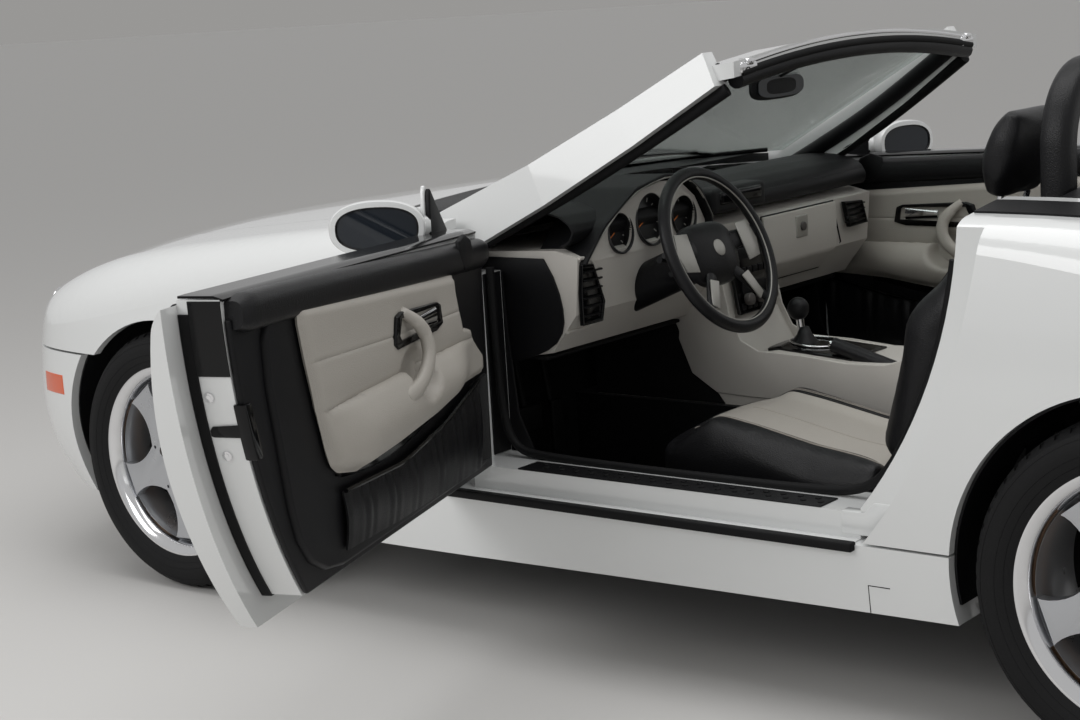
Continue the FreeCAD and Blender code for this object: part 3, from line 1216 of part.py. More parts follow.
def rim(width):
    """Five-spoke wheel with its barrel, hub and brake disc in one, its face towards -Y."""
    half = width / 2 - RIM_INSET
    drop = BEAD_R - RIM_FIT
    t = RIM_WALL
    barrel = ring_y([
        (RIM_FLANGE_R, -half), (RIM_FLANGE_R, -half + 10.0), (drop, -half + 15.0), (drop, -half + 30.0),
        (drop - RIM_DROP, -half + 44.0), (drop - RIM_DROP, half - 44.0), (drop, half - 30.0),
        (drop, half - 15.0), (RIM_FLANGE_R, half - 10.0), (RIM_FLANGE_R, half), (drop - t, half),
        (drop - t, half - 34.0), (drop - RIM_DROP - t, half - 48.0), (drop - RIM_DROP - t, -half + 48.0),
        (drop - t, -half + 34.0), (drop - t, -half),
    ])
    face = -half + SPOKE_FACE_INSET
    back = face + SPOKE_THICK
    hub = cylinder_y(0.0, 0.0, HUB_R, face, face + HUB_LENGTH)
    disc_y = -half + DISC_INSET
    disc = cylinder_y(0.0, 0.0, DISC_R, disc_y, disc_y + DISC_THICK)
    bell = cylinder_y(0.0, 0.0, HUB_R + 8.0, back, disc_y + DISC_THICK)
    spokes = []
    reach = drop - t / 2
    for i in range(SPOKE_COUNT):
        a = i * 360.0 / SPOKE_COUNT
        outline = [V(0.0, face, -SPOKE_W_HUB / 2), V(reach, face, -SPOKE_W_RIM / 2),
                   V(reach, face, SPOKE_W_RIM / 2), V(0.0, face, SPOKE_W_HUB / 2)]
        blade = Part.Face(Part.makePolygon(outline + outline[:1])).extrude(V(0, SPOKE_THICK, 0))
        blade.rotate(V(0, 0, 0), V(0, 1, 0), a + 90.0)
        spokes.append(blade)
    return fuse([barrel, hub, disc, bell] + spokes)


def place_wheel(name, x, y, z, radius, width):
    """Tyre and rim of one wheel at its place, the rim's face outwards."""
    shapes = {"tyre_" + name: tyre(radius, width), "rim_" + name: rim(width)}
    for node, shape in shapes.items():
        if y > 0:
            shape = other_side(shape)
        shape.translate(V(x, y, z))
        parts[node] = shape


for side, sign in (("left", -1.0), ("right", 1.0)):
    front_y = sign * FRONT_TRACK / 2
    rear_y = sign * REAR_TRACK / 2
    place_wheel("front_" + side, FRONT_AXLE_X, front_y, FRONT_AXLE_Z, FRONT_TYRE_R, FRONT_TYRE_W)
    place_wheel("rear_" + side, REAR_AXLE_X, rear_y, REAR_AXLE_Z, REAR_TYRE_R, REAR_TYRE_W)


def knuckle():
    """Steered hub carrier with its ball joints, steering arm and brake caliper."""
    x = FRONT_AXLE_X
    z = FRONT_AXLE_Z
    y = -FRONT_TRACK / 2
    disc_inner = y - FRONT_TYRE_W / 2 + RIM_INSET + DISC_INSET + DISC_THICK
    plate = box(x - 34.0, x + 34.0, disc_inner + 8.0, disc_inner + 44.0, z - 88.0, z + 96.0)
    hub = cylinder_y(x, z, 50.0, disc_inner + SEAT_GAP, disc_inner + 62.0)
    low = kingpin(BALL_Z)
    high = kingpin(UPPER_BALL_Z)
    joints = [Part.makeSphere(BALL_R, low), Part.makeSphere(BALL_R, high)]
    joints.append(tube((low.x, low.y, low.z), (low.x, low.y, z - 80.0), 5.5))
    joints.append(tube((high.x, high.y, high.z), (high.x, high.y - 6.0, high.z - 40.0), 6.5))
    joints.append(tube((high.x, high.y - 6.0, high.z - 40.0), (x, disc_inner + 34.0, z + 86.0), 10.0))
    arm = box(x + 40.0, x + 135.0, disc_inner + 14.0, disc_inner + 38.0, z - 60.0, z - 30.0)
    caliper = box(x + 88.0, x + 172.0, disc_inner - DISC_THICK - 26.0, disc_inner + 34.0, z - 62.0, z + 62.0)
    slot = cylinder_y(x, z, DISC_R + 4.0, disc_inner - DISC_THICK - 3.0, disc_inner + 3.0)
    bridge = box(x + 40.0, x + 100.0, disc_inner + 12.0, disc_inner + 34.0, z - 30.0, z + 30.0)
    caliper = caliper.cut(slot)
    return fuse([plate, hub, arm, bridge, caliper] + joints)


left_knuckle = knuckle()
parts["knuckle_left"] = left_knuckle
parts["knuckle_right"] = other_side(left_knuckle)

for node, shape in parts.items():
    if not shape.isValid():
        print("not valid:", node)
    shape.exportStep("parts/" + node + ".step")
print(len(parts), "pieces")
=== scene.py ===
import math

import bpy
from bpy.props import FloatProperty, FloatVectorProperty, IntProperty, PointerProperty
from mathutils import Matrix, Vector


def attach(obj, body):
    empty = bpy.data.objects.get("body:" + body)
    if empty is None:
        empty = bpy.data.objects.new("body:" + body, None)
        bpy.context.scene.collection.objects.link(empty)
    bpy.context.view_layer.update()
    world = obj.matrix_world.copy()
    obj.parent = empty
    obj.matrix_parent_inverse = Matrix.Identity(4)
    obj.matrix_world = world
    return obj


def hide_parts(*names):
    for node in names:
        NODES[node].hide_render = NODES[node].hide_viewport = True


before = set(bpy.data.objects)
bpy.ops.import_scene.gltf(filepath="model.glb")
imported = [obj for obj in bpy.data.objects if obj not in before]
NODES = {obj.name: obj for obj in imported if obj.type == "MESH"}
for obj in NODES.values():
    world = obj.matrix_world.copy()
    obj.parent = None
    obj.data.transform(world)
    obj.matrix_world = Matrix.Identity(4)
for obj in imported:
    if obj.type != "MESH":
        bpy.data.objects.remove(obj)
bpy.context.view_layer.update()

bl_info = {
    "name": "Open roadster car",
    "version": (1, 0, 0),
    "blender": (4, 5, 0),
    "location": "3D View > Sidebar > Roadster",
    "description": "Dresses the packed roadster frame with paint, leather, trim, wheels and glass",
    "category": "Object",
}

TAU = 2 * math.pi
BACKDROP_SHARE = 1.05  # how pale the backdrop is beside the floor

# Places that the frame's own source fixes, in metres
FRONT_AXLE = Vector((-1.2, -0.744, 0.317))
REAR_AXLE = Vector((1.2, -0.7425, 0.314))
DOOR_PIVOT = Vector((-0.326, -0.812, 0.620))
DOOR_AXIS = Vector((0.01, 0.0, 1.0)).normalized()
DOOR_OPEN = math.radians(70.0)
STEERING_CENTRE = Vector((0.080, -0.370, 0.805))
STEERING_TILT = math.radians(23.0)


# Settings
class PaintSettings(bpy.types.PropertyGroup):
    """Colours of the car's finishes."""
    body: FloatVectorProperty(name="Body paint", description="Colour of the painted panels", subtype="COLOR",
                              size=3, min=0.0, max=1.0, default=(0.76, 0.77, 0.765))
    leather_pale: FloatVectorProperty(name="Pale leather", description="Seat centres and door inserts",
                                      subtype="COLOR", size=3, min=0.0, max=1.0, default=(0.43, 0.405, 0.365))
    leather_black: FloatVectorProperty(name="Black leather", description="Seat bolsters and door edges",
                                       subtype="COLOR", size=3, min=0.0, max=1.0,
                                       default=(0.008, 0.008, 0.009))
    dash_pale: FloatVectorProperty(name="Pale dash plastic", description="Lower dash, glovebox and console",
                                   subtype="COLOR", size=3, min=0.0, max=1.0, default=(0.58, 0.555, 0.515))
    marker: FloatVectorProperty(name="Side marker", description="Orange lens in the bumper's corner",
                                subtype="COLOR", size=3, min=0.0, max=1.0, default=(0.72, 0.095, 0.010))


class WheelSettings(bpy.types.PropertyGroup):
    """Sizes of the wheels."""
    spokes: IntProperty(name="Spokes", description="Number of wide flat spokes", default=5, min=3, max=12)
    groove_depth: FloatProperty(name="Tread groove depth", description="Depth of the tyre's grooves",
                                default=0.006, min=0.001, max=0.012, unit="LENGTH")


class StageSettings(bpy.types.PropertyGroup):
    """Floor and light level."""
    floor: FloatVectorProperty(name="Floor", description="Colour of the plain floor", subtype="COLOR", size=3,
                               min=0.0, max=1.0, default=(0.60, 0.59, 0.575))
    light: FloatProperty(name="Light level", description="Strength of the surrounding light", default=0.5,
                         min=0.0, max=3.0)


# Shared shader groups
def socket(group, name, kind, way, value=None):
    made = group.interface.new_socket(name=name, in_out=way, socket_type=kind)
    if value is not None:
        made.default_value = value
    return made


def new_group(name, inputs, outputs):
    """Node group with float or colour inputs and the given outputs."""
    group = bpy.data.node_groups.new(name, "ShaderNodeTree")
    for label, kind, value in inputs:
        socket(group, label, kind, "INPUT", value)
    for label, kind in outputs:
        socket(group, label, kind, "OUTPUT")
    entry = group.nodes.new("NodeGroupInput")
    leave = group.nodes.new("NodeGroupOutput")
    return group, entry, leave


def grain_group():
    """Leather or moulded grain: small cells with a little noise, as a height."""
    group, entry, leave = new_group(
        "Grain", [("Vector", "NodeSocketVector", None), ("Scale", "NodeSocketFloat", 400.0)],
        [("Height", "NodeSocketFloat"), ("Mask", "NodeSocketFloat")])
    cells = group.nodes.new("ShaderNodeTexVoronoi")
    cells.feature = "SMOOTH_F1"
    noise = group.nodes.new("ShaderNodeTexNoise")
    noise.inputs["Detail"].default_value = 3.0
    mix = group.nodes.new("ShaderNodeMath")
    mix.operation = "MULTIPLY_ADD"
    mix.inputs[1].default_value = 0.4
    group.links.new(entry.outputs["Vector"], cells.inputs["Vector"])
    group.links.new(entry.outputs["Vector"], noise.inputs["Vector"])
    group.links.new(entry.outputs["Scale"], cells.inputs["Scale"])
    group.links.new(entry.outputs["Scale"], noise.inputs["Scale"])
    group.links.new(noise.outputs["Fac"], mix.inputs[0])
    group.links.new(cells.outputs["Distance"], mix.inputs[2])
    group.links.new(mix.outputs[0], leave.inputs["Height"])
    group.links.new(noise.outputs["Fac"], leave.inputs["Mask"])
    return group


def tint_group():
    """Soft colour variation over a surface, between a base colour and a slightly different one."""
    group, entry, leave = new_group(
        "Tint", [("Vector", "NodeSocketVector", None), ("Colour", "NodeSocketColor", (0.5, 0.5, 0.5, 1.0)),
                 ("Scale", "NodeSocketFloat", 3.0), ("Amount", "NodeSocketFloat", 0.1)],
        [("Colour", "NodeSocketColor"), ("Mask", "NodeSocketFloat")])
    noise = group.nodes.new("ShaderNodeTexNoise")
    noise.inputs["Detail"].default_value = 5.0
    noise.inputs["Roughness"].default_value = 0.6
    shift = group.nodes.new("ShaderNodeMath")
    shift.operation = "MULTIPLY_ADD"
    shift.inputs[2].default_value = 1.0
    centre = group.nodes.new("ShaderNodeMath")
    centre.operation = "SUBTRACT"
    centre.inputs[1].default_value = 0.5
    scaled = group.nodes.new("ShaderNodeVectorMath")
    scaled.operation = "SCALE"
    group.links.new(entry.outputs["Vector"], noise.inputs["Vector"])
    group.links.new(entry.outputs["Scale"], noise.inputs["Scale"])
    group.links.new(noise.outputs["Fac"], centre.inputs[0])
    group.links.new(centre.outputs[0], shift.inputs[0])
    group.links.new(entry.outputs["Amount"], shift.inputs[1])
    group.links.new(entry.outputs["Colour"], scaled.inputs[0])
    group.links.new(shift.outputs[0], scaled.inputs["Scale"])
    group.links.new(scaled.outputs["Vector"], leave.inputs["Colour"])
    group.links.new(noise.outputs["Fac"], leave.inputs["Mask"])
    return group


def finish_material(name, colour, rough=0.5, metal=0.0, grain=0.0, grain_scale=400.0, tint=0.08,
                    tint_scale=3.0,
                    rough_spread=0.1, **shader):
    """Material with soft colour variation, uneven roughness and grain, on the piece's own coordinates."""
    material = bpy.data.materials.new(name)
    material.use_nodes = True
    tree = material.node_tree
    bsdf = tree.nodes["Principled BSDF"]
    bsdf.inputs["Metallic"].default_value = metal
    for label, value in shader.items():
        bsdf.inputs[label.replace("_", " ")].default_value = value
    place = tree.nodes.new("ShaderNodeTexCoord")
    tinted = tree.nodes.new("ShaderNodeGroup")
    tinted.node_tree = bpy.data.node_groups["Tint"]
    tinted.inputs["Colour"].default_value = (*colour, 1.0)
    tinted.inputs["Scale"].default_value = tint_scale
    tinted.inputs["Amount"].default_value = tint
    tree.links.new(place.outputs["Object"], tinted.inputs["Vector"])
    tree.links.new(tinted.outputs["Colour"], bsdf.inputs["Base Color"])
    spread = tree.nodes.new("ShaderNodeMapRange")
    spread.inputs["To Min"].default_value = max(rough - rough_spread, 0.02)
    spread.inputs["To Max"].default_value = rough + rough_spread
    tree.links.new(tinted.outputs["Mask"], spread.inputs["Value"])
    tree.links.new(spread.outputs["Result"], bsdf.inputs["Roughness"])
    if grain > 0.0:
        pores = tree.nodes.new("ShaderNodeGroup")
        pores.node_tree = bpy.data.node_groups["Grain"]
        pores.inputs["Scale"].default_value = grain_scale
        bump = tree.nodes.new("ShaderNodeBump")
        bump.inputs["Strength"].default_value = grain
        bump.inputs["Distance"].default_value = 0.001
        tree.links.new(place.outputs["Object"], pores.inputs["Vector"])
        tree.links.new(pores.outputs["Height"], bump.inputs["Height"])
        tree.links.new(bump.outputs["Normal"], bsdf.inputs["Normal"])
    return material


FINISHES = {}


def make_finishes():
    """Every finish of the car, by name."""
    grain_group()
    tint_group()
    colours = bpy.context.scene.roadster_paint
    pale = tuple(colours.leather_pale)
    black = tuple(colours.leather_black)
    dash = tuple(colours.dash_pale)
    table = {
        "paint": dict(colour=tuple(colours.body), rough=0.22, rough_spread=0.04, tint=0.03, tint_scale=1.5,
                      Coat_Weight=1.0, Coat_Roughness=0.04),
        "rubber": dict(colour=(0.005, 0.005, 0.0055), rough=0.62, grain=0.25, grain_scale=900.0,
                       Specular_IOR_Level=0.2),
        "trim_black": dict(colour=(0.006, 0.006, 0.007), rough=0.42, grain=0.3, grain_scale=1200.0,
                           Specular_IOR_Level=0.22),
        "gloss_black": dict(colour=(0.003, 0.003, 0.0035), rough=0.12, rough_spread=0.05, tint=0.3,
                            Specular_IOR_Level=0.3),
        "carpet": dict(colour=(0.006, 0.006, 0.0065), rough=0.9, grain=1.0, grain_scale=700.0, tint=0.5,
                       tint_scale=220.0,
                       Sheen_Weight=0.06, Sheen_Roughness=0.5, Specular_IOR_Level=0.1),
        "leather_pale": dict(colour=pale, rough=0.46, grain=0.5, grain_scale=520.0, tint=0.12,
                             tint_scale=6.0),
        "leather_black": dict(colour=black, rough=0.34, grain=0.55, grain_scale=520.0, tint=0.4,
                              tint_scale=6.0,
                              Specular_IOR_Level=0.26),
        "dash_pale": dict(colour=dash, rough=0.5, grain=0.35, grain_scale=1100.0, tint=0.05, tint_scale=4.0),
        "dash_black": dict(colour=(0.007, 0.007, 0.008), rough=0.48, grain=0.55, grain_scale=800.0, tint=0.3,
                           Specular_IOR_Level=0.25),
        "rim_silver": dict(colour=(0.52, 0.53, 0.55), rough=0.3, metal=0.85, tint=0.06, tint_scale=12.0),
        "rim_polished": dict(colour=(0.78, 0.78, 0.79), rough=0.13, metal=1.0, rough_spread=0.06,
                             tint_scale=40.0),
        "chrome": dict(colour=(0.80, 0.80, 0.81), rough=0.07, metal=1.0, rough_spread=0.03),
        "steel_dark": dict(colour=(0.16, 0.15, 0.145), rough=0.55, metal=0.8, grain=0.5, grain_scale=250.0,
                           tint=0.5,
                           tint_scale=20.0),
        "disc_rust": dict(colour=(0.19, 0.115, 0.07), rough=0.62, metal=0.55, tint=0.7, tint_scale=26.0,
                          grain=0.4,
                          grain_scale=260.0),
        "cast": dict(colour=(0.11, 0.105, 0.10), rough=0.65, metal=0.6, grain=0.6, grain_scale=180.0,
                     tint=0.4),
        "tyre": dict(colour=(0.009, 0.009, 0.0095), rough=0.68, grain=0.35, grain_scale=420.0, tint=0.45,
                     tint_scale=9.0, Specular_IOR_Level=0.2),
        "lamp_clear": dict(colour=(0.70, 0.73, 0.75), rough=0.08, rough_spread=0.02, Coat_Weight=1.0),
        "lamp_red": dict(colour=(0.34, 0.012, 0.012), rough=0.12, rough_spread=0.03, Coat_Weight=1.0),
        "marker": dict(colour=tuple(colours.marker), rough=0.14, rough_spread=0.03, Coat_Weight=1.0),
        "stitch": dict(colour=(0.36, 0.33, 0.29), rough=0.8, grain=0.6, grain_scale=1500.0),
        "stitch_black": dict(colour=(0.03, 0.03, 0.032), rough=0.7, grain=0.6, grain_scale=1500.0),
        "mirror_glass": dict(colour=(0.012, 0.016, 0.022), rough=0.04, rough_spread=0.01,
                             Specular_IOR_Level=0.6),
        "gauge_face": dict(colour=(0.010, 0.010, 0.011), rough=0.3, tint=0.2),
        "gauge_mark": dict(colour=(0.75, 0.74, 0.70), rough=0.5),
        "amber_mark": dict(colour=(0.75, 0.20, 0.03), rough=0.5),
        "frame_silver": dict(colour=(0.42, 0.41, 0.38), rough=0.32, metal=0.5, tint=0.05),
    }
    for name, values in table.items():
        FINISHES[name] = finish_material(name, **values)
    FINISHES["glass"] = glass_finish()


def glass_finish():
    """Lightly green windscreen glass."""
    material = bpy.data.materials.new("glass")
    material.use_nodes = True
    bsdf = material.node_tree.nodes["Principled BSDF"]
    bsdf.inputs["Base Color"].default_value = (0.38, 0.44, 0.41, 1.0)
    bsdf.inputs["Roughness"].default_value = 0.02
    bsdf.inputs["Transmission Weight"].default_value = 1.0
    bsdf.inputs["IOR"].default_value = 1.12
    bsdf.inputs["Alpha"].default_value = 0.7
    return material


# Making helpers
def pick(piece):
    """Makes a piece the only selected and active object."""
    bpy.ops.object.select_all(action="DESELECT")
    piece.select_set(True)
    bpy.context.view_layer.objects.active = piece


def dress(piece, finish, body=None, smooth=35.0):
    """Gives a new piece its finish, its body and its shading."""
    piece.data.materials.clear()
    piece.data.materials.append(FINISHES[finish])
    pick(piece)
    bpy.ops.object.shade_smooth_by_angle(angle=math.radians(smooth))
    if body:
        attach(piece, body)
    return piece


def settle(piece):
    """Moves a piece's place into its mesh."""
    pick(piece)
    bpy.ops.object.transform_apply(location=True, rotation=True, scale=True)
    return piece


def modify(piece, kind, **values):
    """Adds a modifier and applies it."""
    modifier = piece.modifiers.new(kind.title(), kind)
    for name, value in values.items():
        setattr(modifier, name, value)
    pick(piece)
    bpy.ops.object.modifier_apply(modifier=modifier.name)
    return piece


def outline_plate(name, points, depth):
    """Flat plate through corner points in space, thickened by the depth vector."""
    bpy.ops.object.select_all(action="DESELECT")
    bpy.ops.mesh.primitive_circle_add(vertices=len(points), radius=1.0, fill_type="NGON")
    piece = bpy.context.object
    piece.name = name
    for vertex, point in zip(piece.data.vertices, points):
        vertex.co = Vector(point)
    pick(piece)
    bpy.ops.object.mode_set(mode="EDIT")
    bpy.ops.mesh.select_all(action="SELECT")
    bpy.ops.mesh.extrude_region_move(TRANSFORM_OT_translate={"value": Vector(depth)})
    bpy.ops.mesh.select_all(action="SELECT")
    bpy.ops.mesh.normals_make_consistent(inside=False)
    bpy.ops.object.mode_set(mode="OBJECT")
    return piece


def soften(piece, width, segments=2, angle=30.0):
    """Rounds a piece's sharp edges."""
    return modify(piece, "BEVEL", width=width, segments=segments, limit_method="ANGLE",
                  angle_limit=math.radians(angle))


def patch(name, across, along, place):
    """Curved sheet: place(u, v) gives the point for shares u and v from 0 to 1."""
    bpy.ops.object.select_all(action="DESELECT")
    bpy.ops.mesh.primitive_grid_add(x_subdivisions=across, y_subdivisions=along, size=2.0)
    piece = bpy.context.object
    piece.name = name
    for vertex in piece.data.vertices:
        u = (vertex.co.x + 1) / 2
        v = (vertex.co.y + 1) / 2
        vertex.co = Vector(place(u, v))
    return piece


def thicken(piece, thickness, offset=-1.0):
    """Gives a sheet its wall."""
    return modify(piece, "SOLIDIFY", thickness=thickness, offset=offset)


def bar(name, points, radius, closed=False, smooth=True):
    """Round bar or welt along points."""
    bpy.ops.object.select_all(action="DESELECT")
    bpy.ops.curve.primitive_nurbs_path_add()
    piece = bpy.context.object
    piece.name = name
    curve = piece.data
    curve.splines.clear()
    spline = curve.splines.new("NURBS" if smooth else "POLY")
    spline.points.add(len(points) - 1)
    for handle, point in zip(spline.points, points):
        handle.co = (*point, 1.0)
    if smooth:
        spline.order_u = 3
        spline.use_endpoint_u = not closed
    spline.use_cyclic_u = closed
    spline.resolution_u = 4
    curve.bevel_depth = radius
    curve.bevel_resolution = 3
    curve.use_fill_caps = True
    pick(piece)
    bpy.ops.object.convert(target="MESH")
    return bpy.context.object


def spun(name, profile, centre, axis=(0.0, 1.0, 0.0), steps=96):
    """Ring turned about an axis, from a closed outline of (radius, along) pairs."""
    bpy.ops.object.select_all(action="DESELECT")
    bpy.ops.mesh.primitive_circle_add(vertices=len(profile), radius=1.0, fill_type="NOTHING")
    piece = bpy.context.object
    piece.name = name
    axis = Vector(axis).normalized()
    side = axis.orthogonal().normalized()
    centre = Vector(centre)
    for vertex, (radius, along) in zip(piece.data.vertices, profile):
        vertex.co = centre + side * radius + axis * along
    pick(piece)
    bpy.ops.object.mode_set(mode="EDIT")
    bpy.ops.mesh.select_all(action="SELECT")
    bpy.ops.mesh.spin(steps=steps, angle=TAU, center=centre, axis=axis)
    bpy.ops.mesh.select_all(action="SELECT")
    bpy.ops.mesh.remove_doubles(threshold=0.00002)
    bpy.ops.mesh.normals_make_consistent(inside=False)
    bpy.ops.object.mode_set(mode="OBJECT")
    return piece


def block(name, low, high, bevel=0.0, segments=3):
    """Rounded block between two corners."""
    low = Vector(low)
    high = Vector(high)
    bpy.ops.object.select_all(action="DESELECT")
    bpy.ops.mesh.primitive_cube_add(size=1.0, location=(low + high) / 2, scale=high - low)
    piece = bpy.context.object
    piece.name = name
    settle(piece)
    if bevel > 0.0:
        pick(piece)
        bpy.ops.object.mode_set(mode="EDIT")
        bpy.ops.mesh.select_all(action="SELECT")
        bpy.ops.mesh.bevel(offset=bevel, segments=segments, affect="EDGES")
        bpy.ops.object.mode_set(mode="OBJECT")
    return piece


def disc(name, centre, axis, radius, depth, sides=48, bevel=0.0):
    """Round plate or peg along an axis, from its centre point on one face."""
    axis = Vector(axis).normalized()
    turn = axis.to_track_quat("Z", "Y").to_euler()
    bpy.ops.object.select_all(action="DESELECT")
    bpy.ops.mesh.primitive_cylinder_add(vertices=sides, radius=radius, depth=depth,
                                        location=Vector(centre) + axis * depth / 2, rotation=turn)
    piece = bpy.context.object
    piece.name = name
    settle(piece)
    if bevel > 0.0:
        soften(piece, bevel)
    return piece


def merge(name, pieces):
    """Joins pieces of one finish into one object."""
    bpy.ops.object.select_all(action="DESELECT")
    for piece in pieces:
        piece.select_set(True)
    bpy.context.view_layer.objects.active = pieces[0]
    bpy.ops.object.join()
    joined = bpy.context.object
    joined.name = name
    return joined


def twin(piece, name):
    """The same piece on the other side of the car, with its own mesh."""
    pick(piece)
    bpy.ops.object.duplicate()
    copy = bpy.context.object
    copy.name = name
    copy.parent = None
    copy.matrix_world = Matrix.Identity(4)
    copy.data.transform(Matrix.Scale(-1.0, 4, Vector((0.0, 1.0, 0.0))))
    pick(copy)
    bpy.ops.object.mode_set(mode="EDIT")
    bpy.ops.mesh.select_all(action="SELECT")
    bpy.ops.mesh.flip_normals()
    bpy.ops.object.mode_set(mode="OBJECT")
    return copy


def open_door(piece):
    """Swings a piece of the closed left door to where the open door stands."""
    turn = (Matrix.Translation(DOOR_PIVOT) @ Matrix.Rotation(-DOOR_OPEN, 4, DOOR_AXIS)
            @ Matrix.Translation(-DOOR_PIVOT))
    piece.data.transform(turn)
    return piece


def finish_node(node, finish):
    """Gives a carried-over frame node its finish."""
    slots = NODES[node].material_slots
    if slots:
        for item in slots:
            item.material = FINISHES[finish]
    else:
        NODES[node].data.materials.append(FINISHES[finish])


NODE_FINISHES = {
    "paint": ["bonnet", "boot_lid", "door_mirror_left", "door_mirror_right", "door_shell_left",
              "door_shell_right",
              "fenders", "front_bumper", "quarter_panels", "rear_bumper", "sills", "windscreen_frame",
              "hinge_posts"],
    "trim_black": ["grille", "cowl", "arch_liners", "rear_deck", "steering_column", "interior_mirror"],
    "lamp_clear": ["headlamps"],
    "lamp_red": ["tail_lamps"],
    "glass": ["windscreen_glass"],
    "carpet": ["boot_tub", "floor_pan", "firewall", "rear_bulkhead", "side_walls"],
    "cast": ["engine_block", "driveline", "front_subframe", "rear_axle", "knuckle_left", "knuckle_right"],
    "steel_dark": ["exhaust"],
    "dash_black": ["dash_upper"],
    "dash_pale": ["dash_lower", "centre_console", "door_trim_left", "door_trim_right"],
    "leather_black": ["roll_hoops", "head_restraints", "steering_wheel"],
    "leather_pale": ["seat_cushions", "seat_backs"],
    "tyre": ["tyre_front_left", "tyre_front_right", "tyre_rear_left", "tyre_rear_right"],
    "rim_silver": ["rim_front_left", "rim_front_right", "rim_rear_left", "rim_rear_right"],
}


# Places in millimetres, as on the car's drawing
def mm(x, y, z):
    return Vector((x, y, z)) / 1000


def line(table, value):
    """Value read from (place, value) pairs, straight between them."""
    if value <= table[0][0]:
        return table[0][1]
    for (a, low), (b, high) in zip(table, table[1:]):
        if value <= b:
            return low + (high - low) * (value - a) / (b - a)
    return table[-1][1]


def ease(value):
    """0 to 1 with a soft start and end."""
    value = min(max(value, 0.0), 1.0)
    return value * value * (3 - 2 * value)


def squared(angle, power):
    """Cosine and sine drawn out towards a square; a power of 1 keeps the circle."""
    return tuple(math.copysign(abs(share) ** power, share) for share in (math.cos(angle), math.sin(angle)))


def along_row(points, at, share=lambda step: step):
    """Point at a place counted in steps along a row of points."""
    k = min(int(at), len(points) - 2)
    part = share(at - k)
    return tuple(a + (b - a) * part for a, b in zip(points[k], points[k + 1]))


def sided_block(name, sign, low, high, bevel=0.0, segments=3):
    """Block given for the right side, put on the side of the sign."""
    ys = sorted((sign * low[1], sign * high[1]))
    return block(name, mm(low[0], ys[0], low[2]), mm(high[0], ys[1], high[2]), bevel, segments)


def sided_plate(name, sign, points, y, thick, bevel=0.002, segments=2):
    """Plate of a side-view outline at y on the side of the sign, thickened towards the middle."""
    plate = outline_plate(name, [mm(x, sign * y, z) for x, z in points], (0.0, -sign * thick / 1000, 0.0))
    return soften(plate, bevel, segments)


def side_plate(name, points, y, depth, bevel=0.0, segments=2):
    """Plate with its outline in side view, from one side place inwards."""
    piece = outline_plate(name, [mm(x, y, z) for x, z in points], (0.0, depth / 1000, 0.0))
    return soften(piece, bevel / 1000, segments) if bevel else piece


def loft(name, place, around=32, along=24):
    """Closed tube with capped ends: place(u, v) for the share u round it and v along it."""
    piece = patch(name, around, along, place)
    pick(piece)
    bpy.ops.object.mode_set(mode="EDIT")
    bpy.ops.mesh.select_all(action="SELECT")
    bpy.ops.mesh.remove_doubles(threshold=0.00003)
    bpy.ops.mesh.fill_holes(sides=0)
    bpy.ops.mesh.select_all(action="SELECT")
    bpy.ops.mesh.normals_make_consistent(inside=False)
    bpy.ops.object.mode_set(mode="OBJECT")
    return piece


def faces_by(piece, test, index, finish):
    """Gives the faces that pass a test on their centre another finish."""
    while len(piece.data.materials) <= index:
        piece.data.materials.append(FINISHES[finish])
    for face in piece.data.polygons:
        if test(face.center * 1000):
            face.material_index = index


def drop_line(piece, points, lift=0.0):
    """Points dropped from above onto a piece, given as (x, y) in millimetres."""
    found = []
    for x, y in points:
        hit, place, normal, face = piece.ray_cast(mm(x, y, 1400.0), (0.0, 0.0, -1.0))
        if hit:
            found.append(place + normal * lift)
    return found


def top_of(nodes, x, y, lift=0.0):
    """Highest point of the frame's nodes at a place, in millimetres."""
    found = []
    for node in nodes:
        hit, place, normal, face = NODES[node].ray_cast(mm(x, y, 1400.0), (0.0, 0.0, -1.0))
        if hit:
            found.append(place.z * 1000)
    if not found:
        raise RuntimeError("nothing of %s at %s, %s" % (nodes, x, y))
    return max(found) + lift


def cut_out(piece, cutters):
    """Takes the cutters' shapes out of a piece."""
    for cutter in cutters:
        modify(piece, "BOOLEAN", operation="DIFFERENCE", solver="EXACT", object=cutter)
        pick(cutter)
        bpy.ops.object.delete()
    return piece


# Wheels
SPOKE_HALF = [(0.2000, 0.0430), (0.1930, 0.0390), (0.1800, 0.0345), (0.1640, 0.0318), (0.1480, 0.0312),
              (0.1320, 0.0335), (0.1180, 0.0385), (0.1050, 0.0465), (0.0960, 0.0570)]
FACE_INSET = 0.022
FIRST_SPOKE = math.radians(272.0)
BOLTS = 5
OUTWARD = Vector((0.0, -1.0, 0.0))


def around_wheel(centre, radius, angle, out):
    """Point of a left wheel: radius, angle in side view and distance out from its middle."""
    return centre + Vector((radius * math.cos(angle), 0.0, radius * math.sin(angle))) + OUTWARD * out


